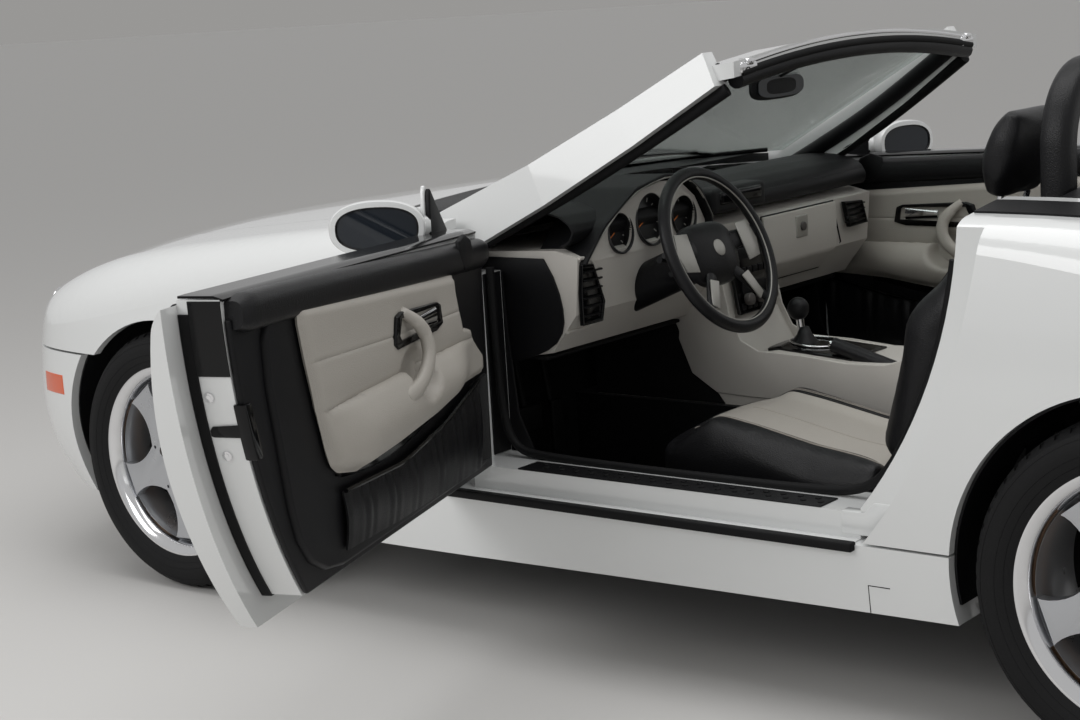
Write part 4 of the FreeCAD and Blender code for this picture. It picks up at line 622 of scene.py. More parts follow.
def spider(name, centre, half, spokes):
    """Wheel's face: wide flat spokes on a hub web, with bolt recesses."""
    ring = []
    pitch = TAU / spokes
    for k in range(spokes):
        middle = FIRST_SPOKE + k * pitch
        one_side = [(radius, -math.asin(wide / radius)) for radius, wide in reversed(SPOKE_HALF)]
        other = [(radius, math.asin(wide / radius)) for radius, wide in SPOKE_HALF]
        for radius, turn in one_side + other:
            ring.append((radius, middle + turn))
    front = half - FACE_INSET
    points = [around_wheel(centre, radius, angle, front) for radius, angle in ring]
    face = outline_plate(name, points, -OUTWARD * 0.026)
    cutters = []
    for k in range(BOLTS):
        angle = FIRST_SPOKE + (k + 0.5) * TAU / BOLTS
        cutters.append(disc("bolt_room", around_wheel(centre, 0.056, angle, front - 0.016), OUTWARD, 0.0135,
                            0.03, 32))
        cutters.append(disc("small_hole", around_wheel(centre, 0.086, angle, front - 0.03), OUTWARD, 0.0042,
                            0.05, 16))
    cut_out(face, cutters)
    return soften(face, 0.0032, 3, 40.0)


def wheel_set(where, centre, width, outer):
    """Tyre, rim, spokes, disc and bolts of a left wheel; the right one is its mirror image."""
    settings = bpy.context.scene.roadster_wheels
    half = width / 2 - 0.013
    groove = settings.groove_depth
    made = []
    profile = [(0.2195, half - 0.012), (0.2335, half), (0.2420, half + 0.004), (0.2540, half + 0.0105),
               (0.2700, half + 0.0130), (0.2850, half + 0.0110), (0.2980, half + 0.0040),
               (outer - 0.0105, half - 0.006),
               (outer - 0.0060, half - 0.0130), (outer - 0.0030, half - 0.0190)]
    for middle in (0.062, 0.024):
        for offset, down in ((0.0048, 0.0), (0.0040, groove), (-0.0040, groove), (-0.0048, 0.0)):
            profile.append((outer - 0.0008 - down, middle + offset))
    profile.append((outer, 0.006))
    profile += [(radius, -along) for radius, along in reversed(profile)]
    tyre = spun("tyre_%s_left_body" % where, profile, centre, OUTWARD, 180)
    pick(tyre)
    for face in tyre.data.polygons:
        place = face.center - centre
        radius = math.hypot(place.x, place.z)
        step = int((math.atan2(place.z, place.x) / TAU + 0.5) * 180)
        far = abs(place.y)
        face.select = step % 3 == 0 and half - 0.022 < far < half + 0.002 and radius > outer - 0.012
    for item in tyre.data.edges:
        item.select = False
    for item in tyre.data.vertices:
        item.select = False
    bpy.ops.object.mode_set(mode="EDIT")
    bpy.ops.mesh.select_mode(type="FACE")
    bpy.ops.mesh.extrude_region_shrink_fatten(TRANSFORM_OT_shrink_fatten={"value": -0.0035})
    bpy.ops.object.mode_set(mode="OBJECT")
    ribs = []
    for radius in (0.2475, 0.2625, 0.2900):
        out = line([(0.2420, half + 0.004), (0.2540, half + 0.0105), (0.2700, half + 0.0130),
                    (0.2850, half + 0.0110),
                    (0.2980, half + 0.0040)], radius)
        ribs.append(spun("rib", [(radius - 0.0012, out - 0.001), (radius, out + 0.0008),
                                 (radius + 0.0012, out - 0.001),
                                 (radius, out - 0.002)], centre, OUTWARD, 120))
    tyre = merge("tyre_%s_left_body" % where, [tyre] + ribs)
    made.append(("tyre", dress(tyre, "tyre", smooth=28.0), "tyre_rubber"))

    lip = spun("rim_%s_left_lip" % where, [
        (0.2050, half - 0.032), (0.2062, half - 0.024), (0.2110, half - 0.0125), (0.2180, half - 0.0060),
        (0.2250, half - 0.0022), (0.2300, half - 0.0005), (0.2328, half - 0.0010), (0.2340, half - 0.004),
        (0.2320, half - 0.011), (0.2190, half - 0.018), (0.2120, half - 0.034)], centre, OUTWARD, 180)
    made.append(("lip", dress(lip, "rim_polished"), "rim_alloy"))
    barrel = spun("rim_%s_left_barrel" % where, [
        (0.2130, half - 0.030), (0.2075, half - 0.0295), (0.2050, half - 0.031), (0.2020, half - 0.040),
        (0.1960, half - 0.052), (0.1955, -half + 0.05), (0.2060, -half + 0.02), (0.2300, -half + 0.006),
        (0.2320, -half), (0.2340, -half), (0.2335, -half + 0.012), (0.2180, -half + 0.018),
        (0.2175, half - 0.028)],
        centre, OUTWARD, 180)
    face = spider("rim_%s_left_face" % where, centre, half, settings.spokes)
    front = half - FACE_INSET
    hub = spun("hub", [(0.0005, front - 0.05), (0.0640, front - 0.05), (0.0640, front - 0.020),
                       (0.0300, front - 0.020),
                       (0.0005, front - 0.020)], centre, OUTWARD, 96)
    cap = spun("cap", [(0.0005, front - 0.01), (0.0360, front - 0.01), (0.0370, front + 0.0005),
                       (0.0345, front + 0.0035),
                       (0.0200, front + 0.0050), (0.0005, front + 0.0052)], centre, OUTWARD, 96)
    face = merge("rim_%s_left_face" % where, [face, barrel, hub, cap])
    made.append(("face", dress(face, "rim_silver"), "rim_alloy"))

    bolts = []
    for k in range(BOLTS):
        angle = FIRST_SPOKE + (k + 0.5) * TAU / BOLTS
        bolts.append(disc("bolt", around_wheel(centre, 0.056, angle, front - 0.020), OUTWARD, 0.0115, 0.006,
                          32, 0.001))
        bolts.append(disc("bolt", around_wheel(centre, 0.056, angle, front - 0.014), OUTWARD, 0.0085, 0.011,
                          6, 0.001))
    made.append(("bolts", dress(merge("rim_%s_left_bolts" % where, bolts), "disc_rust"), "rim_alloy"))
    rotor = spun("brake_%s_left" % where, [
        (0.0600, half - 0.070), (0.0780, half - 0.070), (0.0800, half - 0.092), (0.1400, half - 0.092),
        (0.1425, half - 0.094), (0.1425, half - 0.112), (0.1400, half - 0.114), (0.0700, half - 0.114),
        (0.0600, half - 0.100)], centre, OUTWARD, 120)
    made.append(("rotor", dress(rotor, "disc_rust"), "rim_alloy"))

    for side in ("left", "right"):
        body = "wheel_%s_%s" % (where, side)
        for kind, piece, slot in made:
            if side == "right":
                piece = twin(piece, piece.name.replace("left", "right"))
            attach(piece, body)
            if kind == "tyre":
                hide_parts("tyre_%s_%s" % (where, side))
            if kind == "face":
                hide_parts("rim_%s_%s" % (where, side))


# Doors
DOOR_CIRCLE = (-95.34, 990.62, 992.26)
CARD_Y = -721.0


def door_edge(z, margin):
    """The door's rear edge at a height, drawn in by a margin."""
    x, middle, radius = DOOR_CIRCLE
    return x + math.sqrt((radius - margin) ** 2 - (z - middle) ** 2)


def door_rim(margin, top):
    """Side view of the door's front, bottom and rear edges, drawn in by a margin."""
    low = 345.0 + margin
    rear = [(door_edge(low + (top - low) * k / 24, margin), low + (top - low) * k / 24) for k in range(25)]
    return [(-345.0 + margin, 868.0), (-345.0 + margin, low)] + rear


class DoorPlan:
    """Where a door card's features are. The open door is seen from another side than the shut one."""
    def __init__(self, side):
        left = side == "left"
        self.side = side
        self.body = "door_" + side
        self.shift = 0.0 if left else -100.0
        self.drop = 0.0 if left else -27.0

    def place(self, piece, finish, slot, smooth=35.0):
        """Finishes a piece and puts it on its door."""
        if self.side == "left":
            open_door(piece)
        else:
            mirrored = twin(piece, piece.name)
            pick(piece)
            name = piece.name
            bpy.ops.object.delete()
            mirrored.name = name
            piece = mirrored
        return dress(piece, finish, self.body, smooth)

    def name(self, text):
        """Name of a piece on this side."""
        return "%s_%s" % (text, self.side)

    def moved(self, points):
        """Side-view points put where this door has them."""
        return [(x + self.shift, z + self.drop) for x, z in points]


def card_insert(plan):
    """Pale padded insert with its two creases and the armrest's swell."""
    low = [(-201, 619), (-100, 616), (0, 610), (150, 588), (330, 574), (450, 569), (560, 590), (600, 640)]
    high = [(-201, 812), (-68, 834), (322, 860), (640, 882)]
    front = [(567, -200), (619, -200), (680, -150), (714, -136), (724, -93), (834, -68), (900, -60)]
    rear = [(567, 520), (584, 550), (667, 594), (767, 621), (853, 639), (900, 640)]

    def swell(x, z):
        crease = line([(-102, 700), (266, 700), (632, 694)], x)
        top = line([(-96, 763), (272, 771), (623, 788)], x)
        out = 0.0
        if z < crease:
            fall = (crease - z) / (crease - line(low, x) + 1.0)
            swell_at = ease((x + 140) / 200) * ease((600 - x) / 160)
            out += 44.0 * swell_at * math.sin(math.pi * min(fall * 0.86 + 0.10, 1.0)) ** 0.8
        out -= 3.0 * math.exp(-((z - crease) / 5.0) ** 2)
        out -= 2.2 * math.exp(-((z - top) / 3.0) ** 2)
        out += 4.0 * math.exp(-((z - (top + crease) / 2) / 38.0) ** 2)
        grip = ease((1.0 - math.hypot((x - 196) / 62, (z - 690) / 54)) / 0.3)
        return out * (1 - grip) - 9.0 * grip

    def place(u, v):
        z = 566 + v * 320
        x0 = line(front, z)
        x1 = line(rear, z)
        x = x0 + (x1 - x0) * u
        z0 = line(low, x)
        z1 = line(high, x)
        z = z0 + (z1 - z0) * v
        edge = min(u, 1 - u) * (x1 - x0)
        edge = min(edge, v * (z1 - z0), (1 - v) * (z1 - z0))
        y = -696.0 + 9.0 * ease(edge / 14.0) + swell(x, z) * ease(edge / 26.0)
        return mm(x + plan.shift, y, z + plan.drop)

    piece = patch(plan.name("door_insert"), 130, 96, place)
    thicken(piece, 0.006, -1.0)
    return plan.place(piece, "leather_pale", "dash_pale", 50.0)


def door_card(plan):
    """Black card, belt pad, insert, armrest handle, pocket and speaker of a door."""
    points = [(-236, 420), (-246, 640), (-238, 868), (640, 900), (716, 898), (742, 850), (738, 770),
              (714, 668),
              (690, 560), (668, 500), (628, 452), (574, 424), (500, 412), (-188, 414)]
    raised = side_plate("raised", points, CARD_Y, 22.0, 9.0, 4)
    border = side_plate("border", door_rim(54.5, 896.0), CARD_Y, 11.0, 4.0, 3)
    card = plan.place(merge(plan.name("door_card"), [border, raised]), "trim_black", "dash_pale")
    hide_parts("door_trim_" + plan.side)

    def pad(u, v):
        x = -286 + v * 1116
        top = line([(-286, 882), (-10, 894), (433, 916), (734, 930), (832, 932)], x)
        angle = TAU * u
        wide = 26.0 * (0.72 + 0.28 * ease(min(v, 1 - v) / 0.03))
        tall = 31.0 * (0.72 + 0.28 * ease(min(v, 1 - v) / 0.03))
        across, up = squared(angle, 0.7)
        return mm(x, -710.0 + wide * across, top - 30.0 + tall * up)

    plan.place(loft(plan.name("door_belt_pad"), pad, 36, 60), "leather_black", "leather_black", 60.0)

    def top_cover(u, v):
        x = -284 + v * 1126
        y = 794.0 - 76.0 * u
        return mm(x, -y, top_of(["door_shell_right"], min(x, 826.0), min(max(y, 725.0), 788.0),
                                2.5 - 5.0 * ease((u - 0.8) / 0.2)))

    cover = thicken(patch(plan.name("door_top_cover"), 10, 60, top_cover), 0.004)
    plan.place(cover, "gloss_black", "trim_black", 60.0)
    card_insert(plan)

    def gloss(u, v):
        x = -140 + 660 * u
        top = line([(-140, 622), (0, 612), (150, 590), (330, 575), (520, 572)], x) + 3
        depth = 46.0 * math.sin(math.pi * min(max(u, 0.0), 1.0)) ** 0.6 + 2
        return mm(x + plan.shift, -694.0 - 8 * v, top - depth * v + plan.drop)

    plan.place(thicken(patch(plan.name("door_gloss_strip"), 60, 8, gloss), 0.004), "gloss_black",
               "dash_black", 60.0)

    def pocket(u, v):
        x = -176 + 680 * u
        top = line([(-176, 606), (22, 560), (244, 533), (504, 545)], x)
        base = line([(-176, 424), (257, 430), (500, 440)], x)
        folds = math.sin(u * 118.0) * (0.55 + 0.45 * math.sin(u * 37.0 + 1.0))
        hem = ease((1 - v) / 0.05)
        y = -696.0 + 7.0 * math.sin(math.pi * v) + 2.6 * folds * (0.25 + 0.75 * v) * hem + 3.0 * (1 - hem)
        return mm(x + plan.shift, y, base + (top - base) * v + plan.drop)

    plan.place(thicken(patch(plan.name("door_pocket"), 240, 24, pocket), 0.004), "leather_black",
               "leather_black", 60.0)
    hem = [mm(x + plan.shift, -688.0, line([(-176, 606), (22, 560), (244, 533), (504, 545)], x) + plan.drop)
           for x in range(-176, 505, 40)]
    plan.place(bar(plan.name("door_pocket_hem"), hem, 0.0042), "gloss_black", "leather_black")

    recess = [(44, 796), (36, 757), (70, 748), (262, 746), (278, 757), (262, 806), (240, 812), (60, 802)]
    frame_plate = side_plate(plan.name("door_recess"), plan.moved(recess), -692.0, 18.0, 3.0, 3)
    opening = [(56, 791), (52, 764), (246, 760), (254, 770), (240, 800), (62, 796)]
    hollow = side_plate("hollow", plan.moved(opening), -684.0, 20.0)
    cut_out(frame_plate, [hollow])
    plan.place(frame_plate, "gloss_black", "dash_black")

    def lever(u, v):
        x = 70 + 92 * v + plan.shift
        angle = TAU * u
        tall = 15.0 - 5.0 * v
        return mm(x, -676.0 + 3.2 * math.cos(angle), 779 + tall * math.sin(angle) + plan.drop)

    plan.place(loft(plan.name("door_lever"), lever, 24, 8), "chrome", "dash_black", 60.0)
    route = [(228, 812, -682), (206, 790, -662), (188, 762, -652), (190, 728, -646), (212, 700, -644),
             (250, 676, -646),
             (300, 660, -652)]

    def pull(u, v):
        at = v * (len(route) - 1)
        k = min(int(at), len(route) - 2)
        share = at - k
        ends = [Vector(route[k]), Vector(route[k + 1])]
        if 0 < k:
            before = Vector(route[k - 1])
        else:
            before = ends[0] * 2 - ends[1]
        if k < len(route) - 2:
            after = Vector(route[k + 2])
        else:
            after = ends[1] * 2 - ends[0]
        spot = (ends[0] * 2 + (ends[1] - before) * share
                + (before * 2 - ends[0] * 5 + ends[1] * 4 - after) * share ** 2
                + (ends[0] * 3 - before - ends[1] * 3 + after) * share ** 3) / 2
        run = (ends[1] - ends[0]).normalized()
        side = Vector((run.y, -run.x, 0.0))
        angle = TAU * u
        wide = 17.0 * (0.7 + 0.3 * math.sin(math.pi * v)) + 6.0 * ease((v - 0.75) / 0.25)
        thick = 12.0
        spot = spot + side * wide * math.cos(angle)
        return mm(spot.x + plan.shift, spot.z + thick * math.sin(angle), spot.y + plan.drop)

    plan.place(loft(plan.name("door_pull"), pull, 28, 48), "leather_pale", "dash_pale", 60.0)
    rim = [(536, 712), (568, 712), (572, 672), (540, 672)]
    plan.place(bar(plan.name("door_insert_mark"),
                   [mm(x + plan.shift, -684.5, z + 26 + plan.drop) for x, z in rim], 0.0012,
                   closed=True), "leather_pale", "dash_pale")
    speaker = [(-140, 600), (-232, 610), (-236, 560), (-234, 430), (-150, 436), (-146, 520)]
    grille = side_plate(plan.name("door_speaker"), speaker, -700.0, 9.0, 6.0, 3)
    plan.place(grille, "carpet", "dash_black")
    tweeter = [(-100, 898), (-132, 908), (-166, 894), (-176, 862), (-158, 838), (-126, 836), (-98, 862)]
    plan.place(side_plate(plan.name("door_tweeter"), tweeter, -694.0, 10.0, 4.0, 3), "trim_black",
               "dash_black")

    strip = side_plate(plan.name("door_seal"), door_rim(48.8, 905.0) + door_rim(52.2, 905.0)[::-1], -795.0,
                       18.0)
    plan.place(strip, "rubber", "trim_black")

    def upper(u, v):
        z = 806 + 120 * v
        return mm(door_edge(z, 50.8), -777.0 + 56.0 * u, z)

    plan.place(thicken(patch(plan.name("door_lock_cover"), 8, 8, upper), 0.0015, 1.0), "gloss_black",
               "trim_black", 60.0)

    def latch_face(x_out, y, z):
        return mm(door_edge(z, 52.0) + x_out, y, z)

    turn = Vector((1.0, 0.0, -0.22)).normalized()
    screws = [disc("screw", latch_face(-1.0, -765.0, 772.0), turn, 0.0085, 0.004, 24, 0.0008),
              disc("screw", latch_face(-1.0, -757.0, 672.0), turn, 0.0085, 0.004, 24, 0.0008)]
    for spot in ((-765.0, 772.0), (-757.0, 672.0)):
        screws.append(disc("screw", latch_face(2.6, *spot), turn, 0.004, 0.0012, 6))
    plan.place(merge(plan.name("door_screws"), screws), "chrome", "trim_black")
    claw = [latch_face(0.5, -775.0, 716.0), latch_face(0.5, -770.0, 722.0), latch_face(0.5, -722.0, 726.0),
            latch_face(0.5, -722.0, 704.0), latch_face(0.5, -770.0, 704.0), latch_face(0.5, -775.0, 706.0)]
    plan.place(soften(outline_plate(plan.name("door_latch_slot"), claw, turn * 0.003), 0.001), "gloss_black",
               "trim_black")
    housing = [latch_face(-20.0, -726.0, 760.0), latch_face(-20.0, -726.0, 664.0),
               latch_face(4.0, -726.0, 664.0),
               latch_face(4.0, -726.0, 700.0), latch_face(4.0, -726.0, 760.0)]
    plan.place(soften(outline_plate(plan.name("door_latch"), housing, (0.0, 0.022, 0.0)), 0.003),
               "gloss_black",
               "trim_black")


def mirror(side):
    """Outside mirror: painted housing with its glass, on the door's corner piece."""
    plan = DoorPlan(side)
    centre = mm(-134.0, -871.0, 921.0)
    turn = Matrix.Rotation(math.radians(18.0), 3, "Z")

    def shell(u, v):
        angle = TAU * u
        reach = math.pi * v
        across, up = squared(angle, 0.85)
        swell = math.sin(reach) ** 0.8
        ahead = -math.cos(reach)
        if ahead > 0.28:
            ahead = 0.28 + (ahead - 0.28) * 0.02
        return centre + turn @ mm(55.0 * ahead, 98.0 * across * swell, 57.0 * up * swell)

    housing = loft(plan.name("mirror_housing"), shell, 56, 40)
    glass_points = []
    for k in range(40):
        angle = TAU * k / 40
        across, up = squared(angle, 0.8)
        glass_points.append(centre + turn @ mm(14.4, 84.0 * across, 44.0 * up))
    dent = outline_plate("dent", [point + turn @ mm(-6.0, 0.0, 0.0) for point in glass_points],
                         turn @ mm(20.0, 0.0, 0.0))
    cut_out(housing, [dent])
    glass = outline_plate(plan.name("mirror_glass"),
                          [centre + (point - centre) * 0.985 + turn @ mm(-4.0, 0.0, 0.0)
                                                      for point in glass_points], turn @ mm(2.0, 0.0, 0.0))
    border = bar(plan.name("mirror_edge"), [centre + (point - centre) * 0.99 + turn @ mm(-1.5, 0.0, 0.0)
                                            for point in glass_points], 0.0032, closed=True)

    def stalk(u, v):
        angle = TAU * u
        a = mm(-206.0, -786.0, 918.0)
        b = mm(-160.0, -826.0, 918.0)
        spot = a + (b - a) * v
        wide = 22.0 - 3.0 * v
        return spot + mm(wide * math.cos(angle), wide * 0.5 * math.cos(angle), 26.0 * math.sin(angle))

    neck = loft(plan.name("mirror_neck"), stalk, 32, 8)
    sail = side_plate(plan.name("mirror_sail"),
                      [(-284, 895), (-180, 898), (-184, 985), (-190, 1000), (-196, 998)], -796.0,
                      9.0, 3.0, 3)
    black = side_plate(plan.name("mirror_sail_inner"), [(-280, 897), (-184, 899), (-188, 980), (-193, 994)],
                       -787.0,
                       11.0, 3.0, 3)
    housing = merge(plan.name("mirror_housing"), [housing, neck, sail])
    housing = plan.place(housing, "paint", "paint_white", 40.0)
    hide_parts("door_mirror_" + side)
    plan.place(glass, "mirror_glass", "trim_black")
    plan.place(border, "gloss_black", "trim_black", 60.0)
    plan.place(black, "trim_black", "trim_black")


# Seats
SEAT_Y = -372.0
BACK_FOOT = (566.0, 402.0)
BACK_LEAN = math.radians(15.0)


def seat_point(along, across, y):
    """Point of the left seat's back: along it, across its thickness from the front, and sideways."""
    return mm(BACK_FOOT[0] + along * math.sin(BACK_LEAN) + across * math.cos(BACK_LEAN), y,
              BACK_FOOT[1] + along * math.cos(BACK_LEAN) - across * math.sin(BACK_LEAN))


def inflate(piece, pressure, limit, voxel=0.008):
    """Fills a pad: an even mesh under pressure for a short while, with its movement capped."""
    modify(piece, "REMESH", mode="VOXEL", voxel_size=voxel)
    start = [vertex.co.copy() for vertex in piece.data.vertices]
    cloth = piece.modifiers.new("Cloth", "CLOTH")
    cloth.settings.quality = 4
    cloth.settings.mass = 0.3
    cloth.settings.tension_stiffness = 18.0
    cloth.settings.compression_stiffness = 18.0
    cloth.settings.use_pressure = True
    cloth.settings.uniform_pressure_force = pressure
    cloth.settings.effector_weights.gravity = 0.0
    cloth.collision_settings.use_collision = False
    for frame_number in range(1, 21):
        bpy.context.scene.frame_set(frame_number)
    pick(piece)
    bpy.ops.object.modifier_apply(modifier="Cloth")
    bpy.context.scene.frame_set(1)
    for vertex, old in zip(piece.data.vertices, start):
        move = vertex.co - old
        if move.length > limit:
            vertex.co = old + move * (limit / move.length)
    modify(piece, "SMOOTH", factor=0.5, iterations=24)
    return piece


def seat_cushion():
    """Left seat's cushion: pale centre, black bolsters, seams and double stitching."""
    def place(u, v):
        x = 42 + 508 * v
        angle = TAU * u
        top = line([(42, 432), (90, 452), (160, 458), (250, 442), (400, 410), (550, 392)], x)
        low = line([(42, 330), (120, 282), (550, 276)], x)
        half = line([(42, 196), (110, 210), (550, 208)], x)
        c, s = squared(angle, 0.42)
        y = half * c
        z = (top + low) / 2 + (top - low) / 2 * s
        if s > 0:
            side_rise = line([(0, 0.0), (116, 0.0), (150, 24.0), (178, 40.0), (215, 24.0)], abs(y))
            z += side_rise * s * ease((x - 60) / 120)
        return mm(x, SEAT_Y + y, z)

    piece = loft("seat_cushion_left", place, 72, 48)
    inflate(piece, 2.0, 0.008, 0.006)
    piece = dress(piece, "leather_black", "car_body", 60.0)

    def pale_panel(p):
        return abs(p.y - SEAT_Y) < 140.0 and p.z > 372.0 and p.x > 96.0 + 0.0004 * (p.y - SEAT_Y) ** 2

    faces_by(piece, pale_panel, 1, "leather_pale")
    seams = []
    for y in (-140.0, 140.0):
        run = drop_line(piece, [(x, SEAT_Y + y) for x in range(104, 541, 14)], -0.0008)
        seams.append(bar("seam", run, 0.0026))
    front = drop_line(piece, [(96.0 + 0.0004 * y * y, SEAT_Y + y) for y in range(-140, 141, 14)], -0.0008)
    seams.append(bar("seam", front, 0.0026))
    seams = dress(merge("seat_cushion_seam_left", seams), "leather_black", "car_body", 60.0)
    threads = []
    for offset in (148.0, 153.0):
        for sign in (-1.0, 1.0):
            run = drop_line(piece, [(x, SEAT_Y + sign * offset) for x in range(100, 541, 14)], 0.0003)
            threads.append(bar("thread", run, 0.0009))
    threads = dress(merge("seat_cushion_thread_left", threads), "stitch", "car_body", 60.0)
    run = drop_line(piece, [(x, SEAT_Y) for x in range(150, 541, 14)], -0.0006)
    channel = dress(bar("seat_cushion_channel_left", run, 0.0018), "stitch", "car_body", 60.0)
    return [("seat_cushions", piece, 0.7), (None, seams, None), (None, threads, None), (None, channel, None)]


def seat_back():
    """Left seat's back with its side bolsters, top and pale centre."""
    def place(u, v):
        along = 6 + 530 * v
        angle = TAU * u
        half = line([(6, 190), (60, 212), (300, 212), (430, 196), (500, 168), (536, 120)], along)
        front = line([(6, 22), (80, 14), (300, 8), (480, 24), (536, 48)], along)
        rear = line([(6, 112), (300, 118), (480, 106), (536, 92)], along)
        c, s = squared(angle, 0.45)
        y = half * c
        across = (front + rear) / 2 + (rear - front) / 2 * s
        if s < 0:
            rise = line([(0, 0.0), (104, 0.0), (150, -34.0), (178, -52.0), (212, -34.0)], abs(y))
            across -= rise * s * ease((470 - along) / 160) * ease(along / 60)
        return seat_point(along, across, SEAT_Y + y)

    piece = loft("seat_back_left", place, 72, 48)
    inflate(piece, 3.0, 0.010, 0.006)
    piece = dress(piece, "leather_black", "car_body", 60.0)

    def centre_panel(p):
        x = p.x - BACK_FOOT[0]
        z = p.z - BACK_FOOT[1]
        along = x * math.sin(BACK_LEAN) + z * math.cos(BACK_LEAN)
        across = x * math.cos(BACK_LEAN) - z * math.sin(BACK_LEAN)
        return abs(p.y - SEAT_Y) < 132.0 and across < 40.0 and along < 470.0

    faces_by(piece, centre_panel, 1, "leather_pale")
    ahead = Vector((math.cos(BACK_LEAN), 0.0, -math.sin(BACK_LEAN)))
    seams = []
    for y in (-132.0, 132.0, 0.0):
        run = []
        for along in range(20, 471, 15):
            start = seat_point(along, -120.0, SEAT_Y + y)
            hit, spot, normal, face = piece.ray_cast(start, ahead)
            if hit:
                run.append(spot - ahead * -0.0006)
        seams.append(bar("seam", run, 0.0024 if y else 0.0016))
    seams = dress(merge("seat_back_seam_left", seams), "leather_black", "car_body", 60.0)
    return [("seat_backs", piece, 0.7), (None, seams, None)]


def head_restraint():
    """Left head restraint, padded, on two bright posts."""
    def place(u, v):
        along = 566 + 164 * v
        angle = TAU * u
        half = 112.0 * (0.80 + 0.20 * ease(v / 0.3)) * (0.86 + 0.14 * ease((1 - v) / 0.35))
        front = line([(559, 22), (640, 2), (700, 12), (737, 34)], along)
        rear = line([(559, 66), (640, 86), (700, 82), (737, 62)], along)
        c, s = squared(angle, 0.55)
        return seat_point(along, (front + rear) / 2 + (rear - front) / 2 * s, SEAT_Y + half * c)

    piece = loft("head_restraint_left", place, 56, 28)
    inflate(piece, 3.0, 0.007, 0.006)
    piece = dress(piece, "leather_black", "car_body", 60.0)
    modify(piece, "SUBSURF", levels=1, render_levels=1)
    posts = [bar("post", [seat_point(540, 50, SEAT_Y + y), seat_point(600, 50, SEAT_Y + y)], 0.006,
                 smooth=False)
             for y in (-60.0, 60.0)]
    posts = dress(merge("head_restraint_posts_left", posts), "chrome", "car_body")
    return [("head_restraints", piece, 0.8), (None, posts, None)]


# Cabin
def hoop(side_y=SEAT_Y):
    """Left roll hoop, padded, with a seam round its edge."""
    points = []
    half = 134.0
    points.append((-half, 935.0))
    for k in range(0, 25):
        angle = math.pi * k / 24
        points.append((-half * math.cos(angle), 1030.0 + half * math.sin(angle)))
    points.append((half, 935.0))
    path = [Vector((910.0, side_y + y, z)) for y, z in points]

    def place(u, v):
        at = v * (len(path) - 1)
        k = min(int(at), len(path) - 2)
        spot = path[k].lerp(path[k + 1], at - k)
        middle = Vector((910.0, side_y, min(spot.z, 1030.0)))
        out = (spot - middle)
        out.x = 0.0
        out.normalize()
        angle = TAU * u
        c, s = squared(angle, 0.7)
        spot = spot + out * 29.5 * c + Vector((30.5 * s, 0.0, 0.0))
        return spot / 1000

    ring = loft("roll_hoop_left", place, 40, 72)
    low = block("hoop_foot", mm(882, side_y - 160, 906), mm(938, side_y + 160, 948), 0.012, 4)
    foot = block("hoop_mount", mm(906, side_y - 144, 905.2), mm(922, side_y + 144, 934))
    ring = dress(merge("roll_hoop_left", [ring, low, foot]), "leather_black", "car_body",
                 50.0)
    seam = []
    for k in range(len(path)):
        middle = Vector((910.0, side_y, min(path[k].z, 1030.0)))
        out = path[k] - middle
        out.x = 0.0
        out.normalize()
        seam.append((path[k] + out * 8.0 + Vector((-30.2, 0.0, 0.0))) / 1000)
    seam = dress(bar("roll_hoop_seam_left", seam, 0.0014), "stitch_black", "car_body", 60.0)
    return [("roll_hoops", ring, None), (None, seam, None)]


def both_seats(made):
    for node, piece, fill in made:
        copy = twin(piece, piece.name.replace("left", "right"))
        for one in (piece, copy):
            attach(one, "car_body")
            if node:
                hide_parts(node)


def gauge(name, y, z, radius, marks, x=-123.0):
    """Round instrument behind a hole: dark cup, face, marks and pointer."""
    centre = mm(x, y, z)
    back = Vector((1.0, 0.0, 0.12)).normalized()
    cup = spun(name + "_cup", [
        (radius / 1000, -0.022), (radius / 1000, 0.002), (radius / 1000 + 0.003, 0.0035),
        (radius / 1000 + 0.005, 0.001),
        (radius / 1000 + 0.004, -0.024), (0.0006, -0.024), (0.0006, -0.021)], centre, back, 64)
    dress(cup, "gauge_face", "car_body")
    across = Vector((0.0, 1.0, 0.0))
    up = back.cross(across)
    if up.z < 0:
        up = -up
    made = []
    for k in range(marks):
        angle = math.radians(-130 + 260 * k / (marks - 1))
        long = 0.16 if k % 2 == 0 else 0.09
        aim = across * math.sin(angle) + up * math.cos(angle)
        a = centre - back * 0.0195 + aim * radius / 1000 * 0.88
        b = centre - back * 0.0195 + aim * radius / 1000 * (0.88 - long)
        made.append(bar("mark", [a, b], 0.0009, smooth=False))
    dress(merge(name + "_marks", made), "gauge_mark", "car_body")
    angle = math.radians(-118)
    aim = across * math.sin(angle) + up * math.cos(angle)
    needle = bar(name + "_needle", [centre - back * 0.017,
                                    centre - back * 0.017 + aim * radius / 1000 * 0.7], 0.0012,
                 smooth=False)
    dress(needle, "amber_mark", "car_body")


